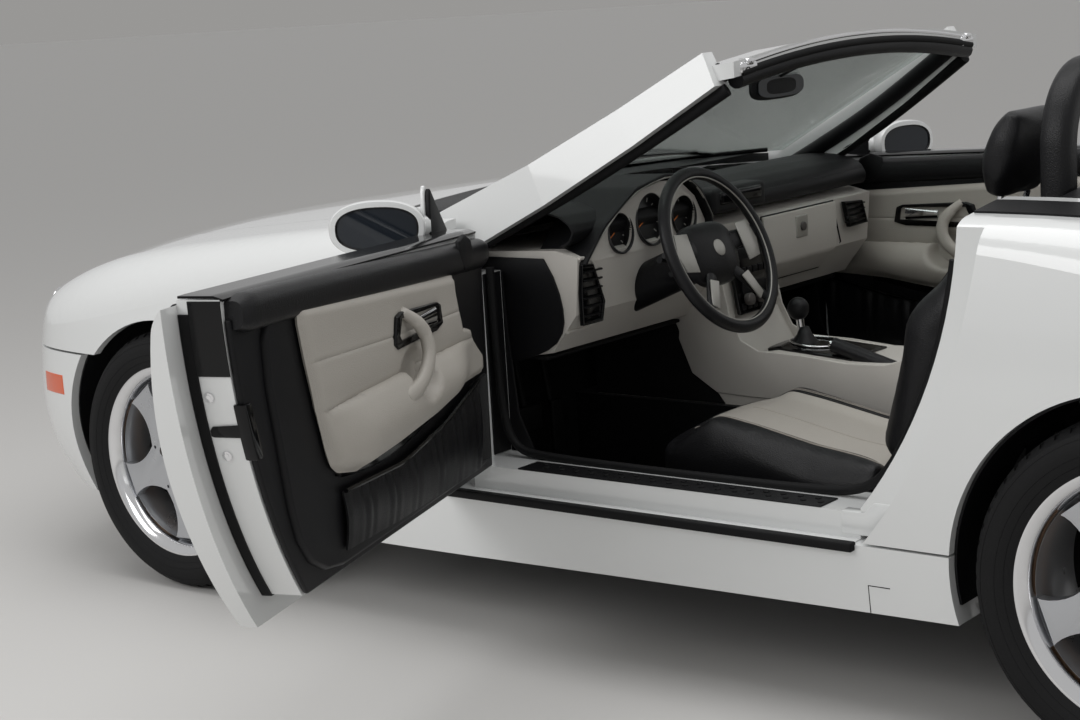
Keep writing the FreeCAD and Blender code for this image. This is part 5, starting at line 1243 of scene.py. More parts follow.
def vent(name, corners, x, rows, tilt=0.0):
    """Black air vent with slats; its corners are (y, z), from the upper left, clockwise."""
    frame_points = [mm(x + tilt * (z - corners[0][1]), y, z) for y, z in corners]
    rim = outline_plate(name, frame_points, (0.012, 0.0, 0.0))
    middle = sum(frame_points, Vector()) / len(frame_points)
    inner_points = [middle + (point - middle) * 0.86 + Vector((0.004, 0.0, 0.0)) for point in frame_points]
    hollow = outline_plate("hollow", inner_points, (0.02, 0.0, 0.0))
    cut_out(rim, [hollow])
    dress(soften(rim, 0.0025, 3), "gloss_black", "car_body")
    low = min(z for y, z in corners)
    high = max(z for y, z in corners)
    ys = [y for y, z in corners]
    slats = []
    for k in range(rows):
        z = low + (high - low) * (k + 1.0) / (rows + 1.0)
        share = 0.80
        y0 = (min(ys) + max(ys)) / 2 - (max(ys) - min(ys)) / 2 * share
        y1 = (min(ys) + max(ys)) / 2 + (max(ys) - min(ys)) / 2 * share
        at = x + tilt * (z - corners[0][1])
        slats.append(block("slat", mm(at + 3, y0, z - 2.2), mm(at + 11, y1, z + 2.2), 0.0016, 2))
    dress(merge(name + "_slats", slats), "trim_black", "car_body")


# Each dial's sideways place, height and radius
DIALS = ((-470, 850, 42), (-352, 866, 56), (-226, 858, 44))


def dash_face(z):
    """How far back the pale dash reaches at a height."""
    return line([(593, -280), (608, -186), (693, -118), (815, -106), (829, -164)], z)


def dashboard():
    """Instrument binnacle, vents, glovebox, centre stack and under-dash edge."""
    arch = [(-618, 800), (-606, 806), (-541, 862), (-423, 926), (-315, 944), (-240, 938), (-180, 897),
            (-142, 838),
            (-142, 800)]
    face = outline_plate("instrument_face", [mm(-113, y, z) for y, z in arch], (0.007, 0.0, 0.0))
    holes = []
    for y, z, radius in DIALS:
        holes.append(disc("hole", mm(-130, y, z), (1.0, 0.0, 0.0), radius / 1000, 0.04, 48))
    cut_out(face, holes)
    dress(soften(face, 0.002, 2), "dash_pale", "car_body")
    for index, (y, z, radius) in enumerate(DIALS):
        gauge("gauge_%d" % index, y, z, radius, 11, -106.0)

    outline = [(-622, 800), (-610, 812), (-548, 872), (-428, 938), (-315, 957), (-236, 950), (-170, 908),
               (-132, 846),
               (-130, 806)]

    def hood(u, v):
        y, z = along_row(outline, u * (len(outline) - 1), lambda step: ease(step) * 0.3 + step * 0.7)
        return mm(-232 + 142 * v, y, z + 3 * v)

    cover = thicken(patch("instrument_hood", 60, 12, hood), 0.007, 1.0)
    dress(soften(cover, 0.002, 2), "dash_black", "car_body", 60.0)
    bright = bar("instrument_edge", [mm(-92, y + 2, z - 3) for y, z in outline[1:-1]], 0.0022)
    dress(bright, "frame_silver", "car_body", 60.0)

    vent("vent_left", [(-622, 802), (-582, 798), (-540, 712), (-548, 669), (-618, 669), (-624, 740)], -110.0,
         6, 0.06)
    ring = [(-626, 815), (-592, 812), (-572, 800), (-530, 714), (-538, 660), (-560, 655), (-626, 655)]
    dress(bar("vent_left_edge", [mm(dash_face(z) + 2, y, z) for y, z in ring], 0.004), "dash_pale",
          "car_body",
          60.0)
    vent("vent_right", [(474, 806), (566, 800), (594, 740), (500, 738)], -104.0, 4, 0.02)

    def glovebox(u, v):
        z = 812 - 168 * v
        left = line([(812, 96), (760, 100), (644, 132)], z)
        right = line([(812, 436), (760, 458), (703, 486), (644, 440)], z)
        y = left + (right - left) * u
        x = dash_face(z) + 9.0 + 9.0 * math.sin(math.pi * v)
        return mm(x, y, z)

    lid = thicken(patch("glovebox_lid", 40, 24, glovebox), 0.006, 1.0)
    dress(soften(lid, 0.002, 3, 40.0), "dash_pale", "car_body", 60.0)
    gap = [(96, 813), (436, 813), (459, 760), (488, 703), (442, 642), (130, 642), (99, 760)]
    dress(bar("glovebox_gap", [mm(dash_face(z) + 0.5, y, z) for y, z in gap], 0.0024, closed=True,
              smooth=False),
          "trim_black", "car_body")
    lock = block("glovebox_lock", mm(-104, 238, 744), mm(-92, 292, 798), 0.003, 3)
    dress(lock, "frame_silver", "car_body")
    knob = disc("glovebox_knob", mm(-93, 265, 771), (1.0, 0.0, 0.0), 0.011, 0.006, 40, 0.0012)
    dress(knob, "steel_dark", "car_body")

    def upper_roll(u, v):
        y = 118 + 504 * v
        angle = TAU * u
        return mm(-126 + 14 * math.cos(angle), y, 858 + 20 * math.sin(angle))

    dress(loft("dash_roll", upper_roll, 28, 16), "dash_black", "car_body", 60.0)
    centre_box = block("dash_centre", mm(-168, -118, 842), mm(-96, 112, 902), 0.014, 4)
    dress(centre_box, "dash_black", "car_body")
    lidlet = block("dash_centre_lid", mm(-130, -92, 862), mm(-91, 88, 894), 0.008, 3)
    dress(lidlet, "gloss_black", "car_body")

    stack = outline_plate("radio_panel", [mm(-104, -78, 800), mm(-104, 78, 800), mm(-72, 78, 606),
                                          mm(-72, -78, 606)],
                          (0.012, 0.0, 0.0))
    dress(soften(stack, 0.004, 3), "gloss_black", "car_body")
    buttons = []
    for row in range(5):
        z = 784 - 40 * row
        x = -104 + 32 * (800 - z) / 194 + 11
        if row in (1, 3):
            buttons.append(block("screen", mm(x, -56, z - 13), mm(x + 4, 56, z + 13), 0.0015, 2))
        else:
            for k in range(6):
                y = -62 + 24.8 * k
                buttons.append(block("button", mm(x, y - 9, z - 8), mm(x + 5, y + 9, z + 8), 0.0018, 2))
    dress(merge("radio_buttons", buttons), "trim_black", "car_body")
    knobs = [disc("knob", mm(-60, y, 640), (1.0, 0.0, 0.18), 0.014, 0.016, 40, 0.002) for y in (-50, 0, 50)]
    dress(merge("heater_knobs", knobs), "steel_dark", "car_body")

    end = [(-519, 590), (-519, 812), (-195, 812), (-172, 775), (-157, 737), (-150, 705), (-149, 676),
           (-156, 652),
           (-172, 630), (-196, 614), (-227, 601), (-270, 588), (-323, 579), (-420, 574)]
    for sign, side in ((-1.0, "left"), (1.0, "right")):
        plate = sided_plate("dash_end_" + side, sign, end, 628.5, -5.0, 0.0016)
        dress(plate, "trim_black", "car_body")
    profile = [(-519, 826), (-450, 862), (-385, 891), (-320, 906), (-260, 912), (-200, 909), (-152, 898),
               (-128, 882),
               (-120, 868), (-130, 850), (-158, 836)]

    def top(u, v):
        y = -627 + 1254 * v
        x, z = along_row(profile, u * (len(profile) - 1))
        rise = max(line(outline, y) - 5.0 - z, 0.0) if -622 < y < -130 else 0.0
        return mm(x, y, z + rise * ease((x + 430) / 190) * ease((-196 - x) / 30))

    cover = patch("dash_top", 60, 120, top)
    modify(cover, "SMOOTH", factor=0.5, iterations=3)
    dress(thicken(cover, 0.004, 1.0), "dash_black", "car_body", 60.0)
    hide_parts("dash_upper")
    liner = block("dash_underside", mm(-460, -618, 588), mm(-210, 618, 596), 0.003)
    dress(liner, "trim_black", "car_body")


def steering_place(x, y, z):
    """Point of the steering wheel made flat: x along the column to the driver, y right, z up."""
    turn = Matrix.Rotation(-STEERING_TILT, 3, "Y")
    return STEERING_CENTRE + turn @ mm(x, y, z)


def steering_wheel():
    """Leather rim with a thin silver line along it as a painted highlight, spokes, blank pad and column
    shroud.
    """
    def rim(u, v):
        a = TAU * u
        b = TAU * v
        reach = 175.5 + 14.0 * math.cos(a)
        return steering_place(12.5 * math.sin(a), reach * math.sin(b), reach * math.cos(b))

    ring = loft("steering_rim", rim, 28, 120)
    dress(ring, "leather_black", "steering_wheel", 60.0)
    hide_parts("steering_wheel")
    # Thin silver bar along the rim's inner face: a painted highlight on the black leather rim, not a real
    # inlay.
    painted_rim_highlight = bar("steering_painted_rim_highlight", [steering_place(7.6, 164.6 * math.sin(TAU * k / 48),
                                                  164.6 * math.cos(TAU * k / 48))
                                   for k in range(48)], 0.0016, closed=True)
    dress(painted_rim_highlight, "frame_silver", "steering_wheel", 60.0)

    def pad(u, v):
        a = TAU * u
        c, s = squared(a, 0.6)
        share = math.sin(math.pi * min(max(v, 0.0), 1.0) / 2) if v < 1 else 1.0
        wide = 99.0 - 16.0 * (s < 0) * abs(s)
        tall = 71.0
        depth = 6.0 * (1 - share ** 4)
        return steering_place(-30.0 + 34.0 * (1 - v) ** 0.5 + depth - 6.0, wide * share * c, tall * share * s)

    dome = loft("steering_pad", lambda u, v: pad(u, 1 - v), 56, 24)
    dress(dome, "leather_black", "steering_wheel", 60.0)
    badge = spun("steering_badge", [(0.0004, 0.0), (0.0150, 0.0), (0.0185, -0.0015), (0.0190, -0.006),
                                    (0.0004, -0.006)],
                 steering_place(4.5, 0.0, 4.0),
                 steering_place(1.0, 0.0, 0.0) - steering_place(0.0, 0.0, 0.0), 64)
    dress(badge, "frame_silver", "steering_wheel")
    spokes = []
    for side in (-1.0, 1.0):
        for low, high, wide in (((60, 12), (168, 24), 17.0), ((44, -46), (112, -130), 13.0)):
            def spoke(u, v, a=low, b=high, w=wide, s=side):
                angle = TAU * u
                run = Vector((0.0, s * (b[0] - a[0]), b[1] - a[1])).normalized()
                across = Vector((0.0, -run.z, run.y))
                spot = Vector((-14.0 + 10.0 * v, s * (a[0] + (b[0] - a[0]) * v), a[1] + (b[1] - a[1]) * v))
                spot += across * w * (1.25 - 0.35 * v) * math.cos(angle)
                spot.x += 6.0 * math.sin(angle)
                return steering_place(*spot)
            spokes.append(loft("spoke", spoke, 24, 10))
    dress(merge("steering_spokes", spokes), "leather_black", "steering_wheel", 60.0)
    plates = []
    thick = steering_place(4.0, 0.0, 0.0) - steering_place(0.0, 0.0, 0.0)
    for side in (-1.0, 1.0):
        for points in (((94, 48), (140, 52), (153, 6), (142, -32), (98, -38)),
                       ((46, -66), (74, -58), (100, -112), (80, -126))):
            plate = outline_plate("plate", [steering_place(-3.0, side * y, z) for y, z in points], thick)
            plates.append(soften(plate, 0.0015))
    dress(merge("steering_plates", plates), "frame_silver", "steering_wheel")

    def shroud(u, v):
        angle = TAU * u
        wide = 46.0 + 14.0 * v
        return steering_place(-150.0 + 96.0 * v, wide * math.cos(angle), 40.0 * math.sin(angle) + 2.0)

    dress(loft("column_shroud", shroud, 36, 12), "trim_black", "car_body", 60.0)
    stalks = []
    for side, rise in ((-1.0, 18.0), (-1.0, -14.0), (1.0, 10.0)):
        stalks.append(bar("stalk", [steering_place(-66.0, side * 50.0, rise * 0.5),
                                    steering_place(-60.0, side * 96.0, rise),
                                    steering_place(-50.0, side * 128.0, rise * 1.3)], 0.0065))
    dress(merge("column_stalks", stalks), "trim_black", "car_body", 60.0)


def console():
    """Gate panel, shift lever, hand brake, armrest and the pale side of the tunnel console."""
    side = [(-178, 800), (-108, 800), (-84, 690), (-66, 606), (-40, 556), (6, 534), (120, 530), (232, 520),
            (330, 522),
            (440, 560), (872, 572), (872, 402), (200, 402), (100, 424), (-20, 424), (-110, 428), (-178, 470),
            (-212, 550)]
    for sign, name in ((-1.0, "left"), (1.0, "right")):
        points = [mm(x, sign * 112.4, z) for x, z in side]
        skirt = outline_plate("console_side_" + name, points, (0.0, sign * 0.005, 0.0))
        dress(soften(skirt, 0.0024, 3), "dash_pale", "car_body")
        covered = ((-462, 592), (-222, 592), (-205, 552), (-176, 492), (-120, 440), (-90, 402), (-462, 402))
        carpet = outline_plate("tunnel_carpet_" + name, [mm(x, sign * 112.4, z) for x, z in covered],
                               (0.0, sign * 0.003, 0.0))
        dress(soften(carpet, 0.001, 2), "carpet", "car_body")

    def panel(u, v):
        x = 12 + 216 * v
        top = line([(0, 531), (40, 536), (230, 521), (330, 523)], x) + 1.5
        return mm(x, -84 + 168 * u, top + 5.0 * math.sin(math.pi * u) ** 0.5)

    dress(thicken(patch("gate_panel", 24, 24, panel), 0.006, 1.0), "gloss_black", "car_body",
          60.0)
    ring = [mm(60 + 60 * math.cos(TAU * k / 32) + 30, 50 * math.sin(TAU * k / 32) * 1.1,
               line([(0, 531), (40, 536), (230, 521)],
                    90 + 60 * math.cos(TAU * k / 32)) + 8.5) for k in range(32)]
    dress(bar("gate_ring", ring, 0.0028, closed=True), "chrome", "car_body", 60.0)
    boot = spun("shift_boot", [(0.0005, 0.0), (0.034, 0.0), (0.030, 0.008), (0.018, 0.022), (0.011, 0.040),
                               (0.0005, 0.042)],
                mm(61, 0, 534), (0.0, 0.0, 1.0), 48)
    dress(boot, "leather_black", "car_body", 60.0)
    lever = bar("shift_lever", [mm(60.8, 0, 506), mm(54.5, 0, 558), mm(48.0, 0, 612)], 0.0102)
    dress(lever, "chrome", "car_body", 60.0)

    def knob(u, v):
        a = TAU * u
        b = math.pi * v
        return mm(46.5 + 25.5 * math.sin(b) * math.cos(a), 25 * math.sin(b) * math.sin(a),
                  615.5 - 27 * math.cos(b))

    dress(loft("shift_knob", knob, 32, 24), "leather_black", "car_body", 60.0)
    grip = [mm(346, -70, 501), mm(178, -70, 550)]

    def brake(u, v):
        a = TAU * u
        spot = grip[0].lerp(grip[1], v)
        return spot + mm(4.6 * math.sin(a), 16.8 * math.cos(a), 17.0 * math.sin(a))

    dress(loft("brake_lever", brake, 28, 20), "leather_black", "car_body", 60.0)
    button = disc("brake_button", mm(179, -70, 550), (-1.0, 0.0, 0.29), 0.0075, 0.012, 32, 0.001)
    dress(button, "chrome", "car_body")

    def armrest(u, v):
        x = 446 + 330 * v
        angle = TAU * u
        c, s = squared(angle, 0.5)
        shrink = 0.86 + 0.14 * ease(min(v, 1 - v) / 0.08)
        return mm(x, 96 * c * shrink, 578 + 20 * s * shrink)

    dress(loft("console_armrest", armrest, 48, 24), "leather_black", "car_body", 60.0)


def cabin_trim():
    """Kick panels, carpets, tread plates, pedals and the door openings' seals."""
    for sign, name in ((-1.0, "left"), (1.0, "right")):
        kick = [(-519, 396), (-519, 800), (-300, 786), (-292, 640), (-276, 470), (-240, 396)]
        corner = [(600, 346), (662, 346), (716, 412), (668, 412), (648, 391), (600, 391)]
        lining = [(560, 396), (640, 396), (700, 480), (770, 640), (800, 800), (806, 880), (904, 890),
                  (904, 396)]
        dress(sided_plate("kick_panel_" + name, sign, kick, 648, 6.0), "trim_black", "car_body")
        post = sided_block("post_trim_" + name, sign, (-300, 655, 392), (-296, 712, 786), 0.001)
        dress(post, "trim_black", "car_body")
        seal_path = [(-288, 800), (-286, 640), (-278, 480), (-250, 410), (-180, 396), (200, 394), (520, 396),
                     (600, 408),
                     (650, 446), (700, 530), (745, 640), (782, 760), (796, 852)]
        seal = bar("opening_seal_" + name, [mm(x, sign * 699, z) for x, z in seal_path], 0.0095)
        dress(seal, "rubber", "car_body", 60.0)
        plate = sided_block("tread_plate_" + name, sign, (-170, 724, 390.2), (556, 792, 393.3), 0.0012, 2)
        dress(plate, "trim_black", "car_body")
        studs = []
        for k in range(18):
            for row in (744.0, 767.0):
                spot = mm(-130 + 38.5 * k + (19.0 if row > 760 else 0.0), sign * row, 393.0)
                studs.append(disc("stud", spot, (0.0, 0.0, 1.0), 0.0062, 0.0022, 14, 0.0008))
        dress(merge("tread_studs_" + name, studs), "rubber", "car_body", 60.0)
        strip = sided_block("sill_strip_" + name, sign, (-338, 820, 326), (646, 841, 344), 0.004)
        dress(strip, "rubber", "car_body")
        dress(sided_plate("sill_corner_" + name, sign, corner, 793, 28.0, 0.003), "paint", "car_body")
        band = patch("quarter_top_" + name, 12, 16, lambda u, v: mm(
            852 + 256 * v, sign * (640 + 92 * u),
            top_of(["quarter_panels", "rear_deck", "boot_lid"], 852 + 256 * v,
                                                         640 + 92 * u, 2.0)))
        dress(thicken(band, 0.004, 0.0), "trim_black", "car_body", 60.0)
        side_lining = sided_plate("rear_side_lining_" + name, sign, lining, 652, 6.0)
        dress(side_lining, "trim_black", "car_body")
    pedals = []
    for y0, y1, z0, z1 in ((-458, -380, 372, 432), (-340, -300, 300, 428)):
        pedals.append(block("pedal", mm(-438, y0, z0), mm(-424, y1, z1), 0.004, 3))
        middle = (y0 + y1) / 2
        pedals.append(bar("arm", [mm(-444, middle, z1 - 20), mm(-468, middle, 520), mm(-470, middle, 600)],
                          0.008))
    dress(merge("pedals", pedals), "rubber", "car_body", 60.0)
    rest = block("foot_rest", mm(-516, -610, 240), mm(-470, -530, 420), 0.008, 3)
    dress(rest, "rubber", "car_body")
    mats = [sided_block("mat", sign, (-470, 150, 215.2), (0, 590, 224), 0.004, 2) for sign in (-1.0, 1.0)]
    dress(merge("floor_mats", mats), "carpet", "car_body")
    shelf = block("rear_shelf", mm(822, -640, 880), mm(880, 640, 893), 0.006, 3)
    dress(shelf, "carpet", "car_body")


# The header's half width and its rise in the middle, in millimetres
HEADER_HALF = 512.0
HEADER_RISE = 36.0


def screen_edges():
    """Black seals of the windscreen, header lining with its catches, wipers and inside mirror."""
    pillar = [(-455, 688, 838), (-180, 640, 972), (20, 592, 1085), (196, 540, 1196)]
    for sign, name in ((-1.0, "left"), (1.0, "right")):
        lower = [mm(x + 24, sign * (half - 12), z - 42) for x, half, z in pillar]
        liner = [mm(x + 8, sign * (half - 25), z - 6) for x, half, z in pillar]
        piece = bar("pillar_lining_" + name, liner, 0.021)
        dress(piece, "trim_black", "car_body", 60.0)
        rubber = bar("pillar_seal_" + name, lower, 0.0135)
        dress(rubber, "rubber", "car_body", 60.0)
    rows = [(share / 10 * HEADER_HALF, HEADER_RISE * (1 - (share / 10) ** 2)) for share in range(-10, 11)]
    lining = [mm(230, y, 1172 + rise) for y, rise in rows]
    dress(bar("header_lining", lining, 0.019), "trim_black", "car_body", 60.0)
    seal = [mm(243, y, 1185 + rise) for y, rise in rows]
    dress(bar("header_seal", seal, 0.0085), "rubber", "car_body", 60.0)
    bright = [mm(241, y * 0.97, 1202.5 + rise) for y, rise in rows]
    dress(bar("header_strip", bright, 0.0055), "chrome", "car_body", 60.0)
    catches = []
    for y in (-486, 486):
        rise = HEADER_RISE * (1 - (y / HEADER_HALF) ** 2)
        catches.append(block("catch", mm(206, y - 30, 1180 + rise), mm(250, y + 30, 1203 + rise), 0.005, 3))
        catches.append(block("hook", mm(226, y - 11, 1196 + rise), mm(254, y + 11, 1210 + rise), 0.004, 3))
    dress(merge("header_catches", catches), "chrome", "car_body")

    def glass_point(share, up):
        y = share * 590 * (1 - 0.12 * up)
        x_low = -596 + 216 * share * share
        x_high = 134 + 18 * share * share
        return mm(x_low + (x_high - x_low) * up - 8, y, 921 + 275 * up + 6)

    wipers = []
    blades = []
    for start, stop in ((-0.62, 0.04), (0.02, 0.66)):
        run = [glass_point(start + (stop - start) * k / 8,
                           0.055 + 0.03 * math.sin(math.pi * k / 8)) for k in range(9)]
        blades.append(bar("blade", run, 0.0048))
        wipers.append(bar("arm", [run[4] + mm(-2, 0, 12), run[6] + mm(-14, 0, 10),
                                  glass_point(stop + 0.10, 0.012)],
                          0.0055))
    dress(merge("wiper_blades", blades), "rubber", "car_body", 60.0)
    dress(merge("wiper_arms", wipers), "trim_black", "car_body", 60.0)
    edge = [glass_point(-1.0 + k / 10, 0.0) for k in range(21)]
    dress(bar("glass_foot_seal", edge, 0.007), "rubber", "car_body", 60.0)

    def inside(u, v):
        a = TAU * u
        b = math.pi * v
        c, s = squared(a, 0.6)
        return mm(10 + 16 * -math.cos(b), 112 * c * math.sin(b) ** 0.6, 1128 + 30 * s * math.sin(b) ** 0.6)

    shell = loft("inside_mirror", inside, 48, 28)
    stem = bar("stem", [mm(14, 0, 1150), mm(60, 0, 1176), mm(150, 0, 1196)], 0.008)
    shell = dress(merge("inside_mirror", [shell, stem]), "trim_black", "car_body", 60.0)
    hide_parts("interior_mirror")
    back = []
    for k in range(36):
        a = TAU * k / 36
        c, s = squared(a, 0.6)
        back.append(mm(23.5, 98 * c, 1128 + 24 * s))
    dress(outline_plate("inside_mirror_glass", back, (0.0012, 0.0, 0.0)), "mirror_glass", "car_body")


# Outside
def on_side(node, x, z, lift=0.0):
    """Point of a shut panel's outer face on the right side, at a place and height."""
    hit, spot, normal, face = NODES[node].ray_cast(mm(x, 1400.0, z), (0.0, -1.0, 0.0))
    if not hit:
        raise RuntimeError("nothing of %s at %s, %s" % (node, x, z))
    return spot + normal * lift


def on_skin(node, x0, x1, z0, z1, lift=0.0, across=12, along=8, name="patch"):
    """Sheet that follows a panel's outer face on the right side."""
    return patch(name, across, along, lambda u,
                 v: on_side(node, x0 + (x1 - x0) * u, z0 + (z1 - z0) * v, lift))


def right_and_left(piece, finish, bodies=("car_body", "car_body"), smooth=60.0):
    """Dresses a right-hand piece and makes its left twin. A left door's twin is swung open."""
    piece = dress(piece, finish, bodies[1], smooth)
    copy = twin(piece, piece.name.replace("right", "left"))
    if bodies[0] == "door_left":
        open_door(copy)
    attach(copy, bodies[0])


def outside_trim():
    """Side markers, belt strips, door handles, filler flap, jack covers, lamps' details and blank plate."""
    marker = on_skin("front_bumper", -1694, -1592, 450, 500, 0.0, 20, 10, "side_marker_right")
    thicken(marker, 0.005, 0.4)
    right_and_left(soften(marker, 0.0015, 2), "marker")
    doors = ("door_left", "door_right")
    belt = [on_side("door_shell_right", x, line([(-335, 874), (880, 906)],
                                                x)) + mm(0, -3, 8) for x in range(-320, 871, 55)]
    right_and_left(bar("belt_strip_right", belt, 0.0075), "rubber", doors)

    def handle(u, v):
        x = 640 + 176 * v
        angle = TAU * u
        base = on_side("door_shell_right", min(max(x, 646), 806), 792, 0.0)
        stand = 7.0 * math.sin(math.pi * v) ** 0.5
        return base + mm(0, 1.0 + stand + 6.5 * math.cos(angle),
                         17.0 * math.sin(angle) * (0.55 + 0.45 * math.sin(math.pi * v)))

    right_and_left(loft("door_handle_right", handle, 28, 32), "paint", doors)
    lock = disc("door_lock_right", on_side("door_shell_right", 826, 786, -0.002), (0.0, 1.0, 0.0), 0.011,
                0.004, 32, 0.001)
    right_and_left(lock, "steel_dark", doors)
    for at in (-600, 690):
        cover = [on_side("sills", x, z, 0.0) for x, z in
                 ((at - 22, 208), (at + 22, 208), (at + 22, 262), (at - 22, 262))]
        name = "jack_cover_%s_right" % ("front" if at < 0 else "rear")
        right_and_left(bar(name, cover, 0.0011, closed=True, smooth=False), "trim_black")
    flap = [on_side("quarter_panels", 1230 + 74 * math.cos(TAU * k / 36), 800 + 66 * math.sin(TAU * k / 36),
                    -0.0004)
            for k in range(36)]
    dress(bar("filler_flap_right", flap, 0.0012, closed=True), "trim_black", "car_body")

    lamp = NODES["headlamps"]
    rings = []
    ring = ((0.0, 0.0), (0.004, 0.0), (0.004, 0.003), (0.0, 0.003))
    for y, z, radius in ((-560, 640, 52), (-660, 642, 44)):
        hit, spot, normal, face = lamp.ray_cast(mm(-2200, y, z), (1.0, 0.0, 0.0))
        if hit:
            profile = [(radius / 1000 + out, up) for out, up in ring]
            rings.append(spun("ring", profile, spot + normal * -0.002, -normal, 64))
    if rings:
        left = dress(merge("headlamp_rings_left", rings), "chrome", "car_body")
        right = twin(left, "headlamp_rings_right")
        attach(right, "car_body")
    bumper = NODES["rear_bumper"]
    hit, spot, normal, face = bumper.ray_cast(mm(2300, 0, 450), (-1.0, 0.0, 0.0))
    if hit:
        x = spot.x * 1000
        plate = block("rear_plate", mm(x - 3, -153, 374), mm(min(x + 3, 2014.5), 153, 526), 0.0015, 2)
        dress(plate, "gauge_mark", "car_body")
    tips = []
    for y in (300, 380):
        tips.append(spun("tip", [(0.036, 0.0), (0.038, 0.0), (0.038, 0.09), (0.036, 0.09)], mm(1895, y, 235),
                         (1.0, 0.0, 0.0), 64))
    dress(merge("exhaust_tips", tips), "chrome", "car_body")
    inlet = block("intake_mesh", mm(-1936, -372, 258), mm(-1928, 372, 352), 0.002, 2)
    dress(inlet, "trim_black", "car_body")


# Operators
class ROADSTER_OT_finishes(bpy.types.Operator):
    """Make the finishes and give the frame's own pieces theirs"""
    bl_idname = "roadster.finishes"
    bl_label = "Finishes"

    def execute(self, context):
        make_finishes()
        for finish, nodes in NODE_FINISHES.items():
            for node in nodes:
                finish_node(node, finish)
        return {"FINISHED"}


class ROADSTER_OT_wheels(bpy.types.Operator):
    """Make the four wheels with their tyres"""
    bl_idname = "roadster.wheels"
    bl_label = "Wheels"

    def execute(self, context):
        wheel_set("front", FRONT_AXLE, 0.225, 0.317)
        wheel_set("rear", REAR_AXLE, 0.240, 0.314)
        return {"FINISHED"}


class ROADSTER_OT_doors(bpy.types.Operator):
    """Make both doors' cards, handles, seals, locks and mirrors"""
    bl_idname = "roadster.doors"
    bl_label = "Doors"

    def execute(self, context):
        for side in ("left", "right"):
            door_card(DoorPlan(side))
            mirror(side)
        return {"FINISHED"}


class ROADSTER_OT_seats(bpy.types.Operator):
    """Make the seats, head restraints and roll hoops"""
    bl_idname = "roadster.seats"
    bl_label = "Seats"

    def execute(self, context):
        both_seats(seat_cushion() + seat_back() + head_restraint() + hoop())
        return {"FINISHED"}


class ROADSTER_OT_cabin(bpy.types.Operator):
    """Make the dash, steering wheel, console and cabin trim"""
    bl_idname = "roadster.cabin"
    bl_label = "Cabin"

    def execute(self, context):
        dashboard()
        steering_wheel()
        console()
        cabin_trim()
        return {"FINISHED"}


class ROADSTER_OT_outside(bpy.types.Operator):
    """Make the windscreen's edges, wipers, lamps' details and outside trim"""
    bl_idname = "roadster.outside"
    bl_label = "Outside"

    def execute(self, context):
        screen_edges()
        outside_trim()
        return {"FINISHED"}


# The camera: its place, its turns to the left, down and about its own line of sight, and its lens
CAMERA_PLACE = (2.407, -3.909, 1.357)
CAMERA_TURNS = (38.72, 10.33, -3.52)
CAMERA_LENS = 66.1
CAMERA_SENSOR = 36.0


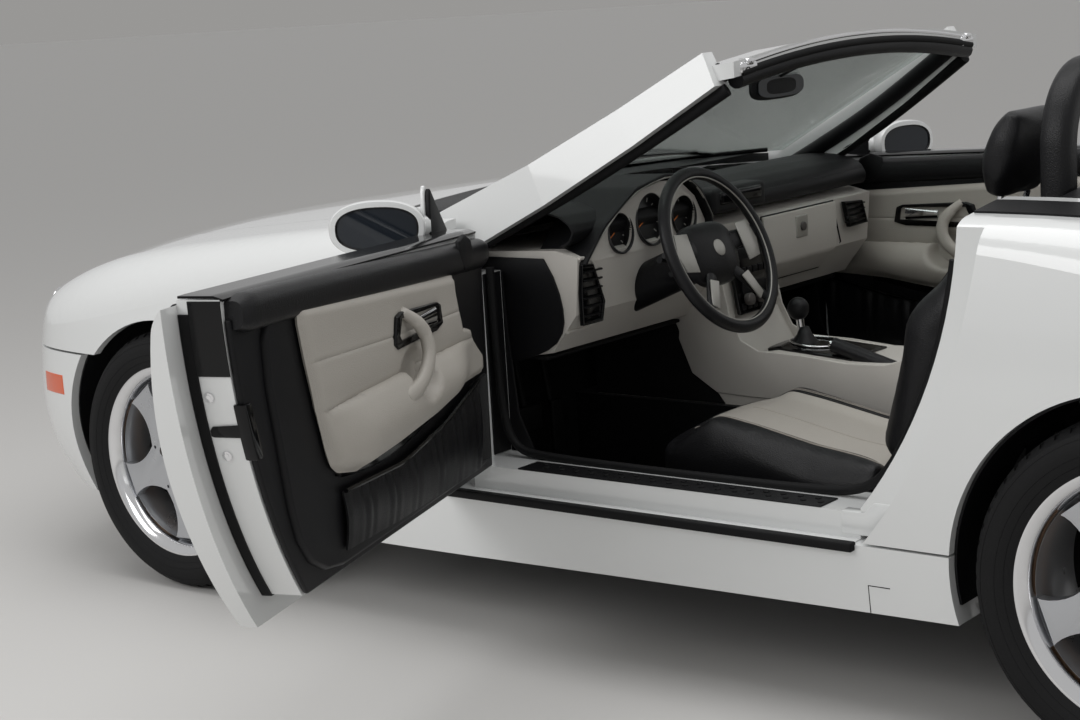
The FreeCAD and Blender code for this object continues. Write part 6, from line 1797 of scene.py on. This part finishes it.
class ROADSTER_OT_stage(bpy.types.Operator):
    """Make the floor, the light and the camera"""
    bl_idname = "roadster.stage"
    bl_label = "Stage"

    def execute(self, context):
        settings = context.scene.roadster_stage
        bpy.ops.object.select_all(action="DESELECT")
        bpy.ops.mesh.primitive_plane_add(size=500.0, location=(0.0, 0.0, 0.0))
        floor = context.object
        floor.name = "floor"
        material = bpy.data.materials.new("floor")
        material.use_nodes = True
        bsdf = material.node_tree.nodes["Principled BSDF"]
        bsdf.inputs["Base Color"].default_value = (*settings.floor, 1.0)
        bsdf.inputs["Roughness"].default_value = 0.75
        floor.data.materials.append(material)

        world = bpy.data.worlds.new("studio")
        world.use_nodes = True
        background = world.node_tree.nodes["Background"]
        background.inputs["Color"].default_value = (1.0, 1.0, 1.0, 1.0)
        background.inputs["Strength"].default_value = settings.light
        rays = world.node_tree.nodes.new("ShaderNodeLightPath")
        seen = world.node_tree.nodes.new("ShaderNodeMix")
        seen.data_type = "RGBA"
        seen.inputs[6].default_value = (1.0, 1.0, 1.0, 1.0)
        seen.inputs[7].default_value = (*(level * BACKDROP_SHARE for level in settings.floor), 1.0)
        world.node_tree.links.new(rays.outputs["Is Camera Ray"], seen.inputs[0])
        world.node_tree.links.new(seen.outputs[2], background.inputs["Color"])
        context.scene.world = world

        for name, place, aim, size, power in (
            ("softbox_top", (0.2, -0.6, 4.6), (0.0, 0.0, 0.4), (5.0, 3.0), 95.0),
            ("softbox_side", (-1.2, -5.6, 3.4), (0.0, -0.4, 0.5), (4.0, 2.4), 90.0),
        ):
            bpy.ops.object.light_add(type="AREA", location=place)
            lamp = context.object
            lamp.name = name
            lamp.data.shape = "RECTANGLE"
            lamp.data.size = size[0]
            lamp.data.size_y = size[1]
            lamp.data.energy = power
            aim_at = Vector(aim) - Vector(place)
            lamp.rotation_euler = aim_at.to_track_quat("-Z", "Y").to_euler()

        yaw, pitch, roll = (math.radians(turn) for turn in CAMERA_TURNS)
        ahead = Vector((-math.sin(yaw) * math.cos(pitch), math.cos(yaw) * math.cos(pitch), -math.sin(pitch)))
        right = Vector((math.cos(yaw), math.sin(yaw), 0.0))
        up = right.cross(ahead)
        turned_right = right * math.cos(roll) + up * math.sin(roll)
        turned_up = up * math.cos(roll) - right * math.sin(roll)
        camera = bpy.data.objects.new("camera", bpy.data.cameras.new("camera"))
        context.scene.collection.objects.link(camera)
        rows = [(turned_right[k], turned_up[k], -ahead[k], CAMERA_PLACE[k]) for k in range(3)]
        camera.matrix_world = Matrix((*rows, (0.0, 0.0, 0.0, 1.0)))
        camera.data.lens = CAMERA_LENS
        camera.data.sensor_width = CAMERA_SENSOR
        camera.data.clip_end = 200.0
        context.scene.camera = camera
        context.scene.view_settings.view_transform = "Standard"
        return {"FINISHED"}


class ROADSTER_PT_panel(bpy.types.Panel):
    """Sidebar panel with the car's settings and making steps"""
    bl_label = "Roadster"
    bl_idname = "ROADSTER_PT_panel"
    bl_space_type = "VIEW_3D"
    bl_region_type = "UI"
    bl_category = "Roadster"

    def draw(self, context):
        scene = context.scene
        for group in (scene.roadster_paint, scene.roadster_wheels, scene.roadster_stage):
            for name in group.bl_rna.properties.keys():
                if name not in ("rna_type", "name"):
                    self.layout.prop(group, name)
        for step in STEPS:
            self.layout.operator(step.bl_idname)


STEPS = [ROADSTER_OT_finishes, ROADSTER_OT_wheels, ROADSTER_OT_doors, ROADSTER_OT_seats, ROADSTER_OT_cabin,
         ROADSTER_OT_outside, ROADSTER_OT_stage]
CLASSES = [PaintSettings, WheelSettings, StageSettings, *STEPS, ROADSTER_PT_panel]


def register():
    for made in CLASSES:
        bpy.utils.register_class(made)
    bpy.types.Scene.roadster_paint = PointerProperty(type=PaintSettings)
    bpy.types.Scene.roadster_wheels = PointerProperty(type=WheelSettings)
    bpy.types.Scene.roadster_stage = PointerProperty(type=StageSettings)


def unregister():
    del bpy.types.Scene.roadster_paint
    del bpy.types.Scene.roadster_wheels
    del bpy.types.Scene.roadster_stage
    for made in reversed(CLASSES):
        bpy.utils.unregister_class(made)


def main():
    register()
    for step in STEPS:
        group, name = step.bl_idname.split(".")
        getattr(getattr(bpy.ops, group), name)()


if __name__ == "__main__":
    main()
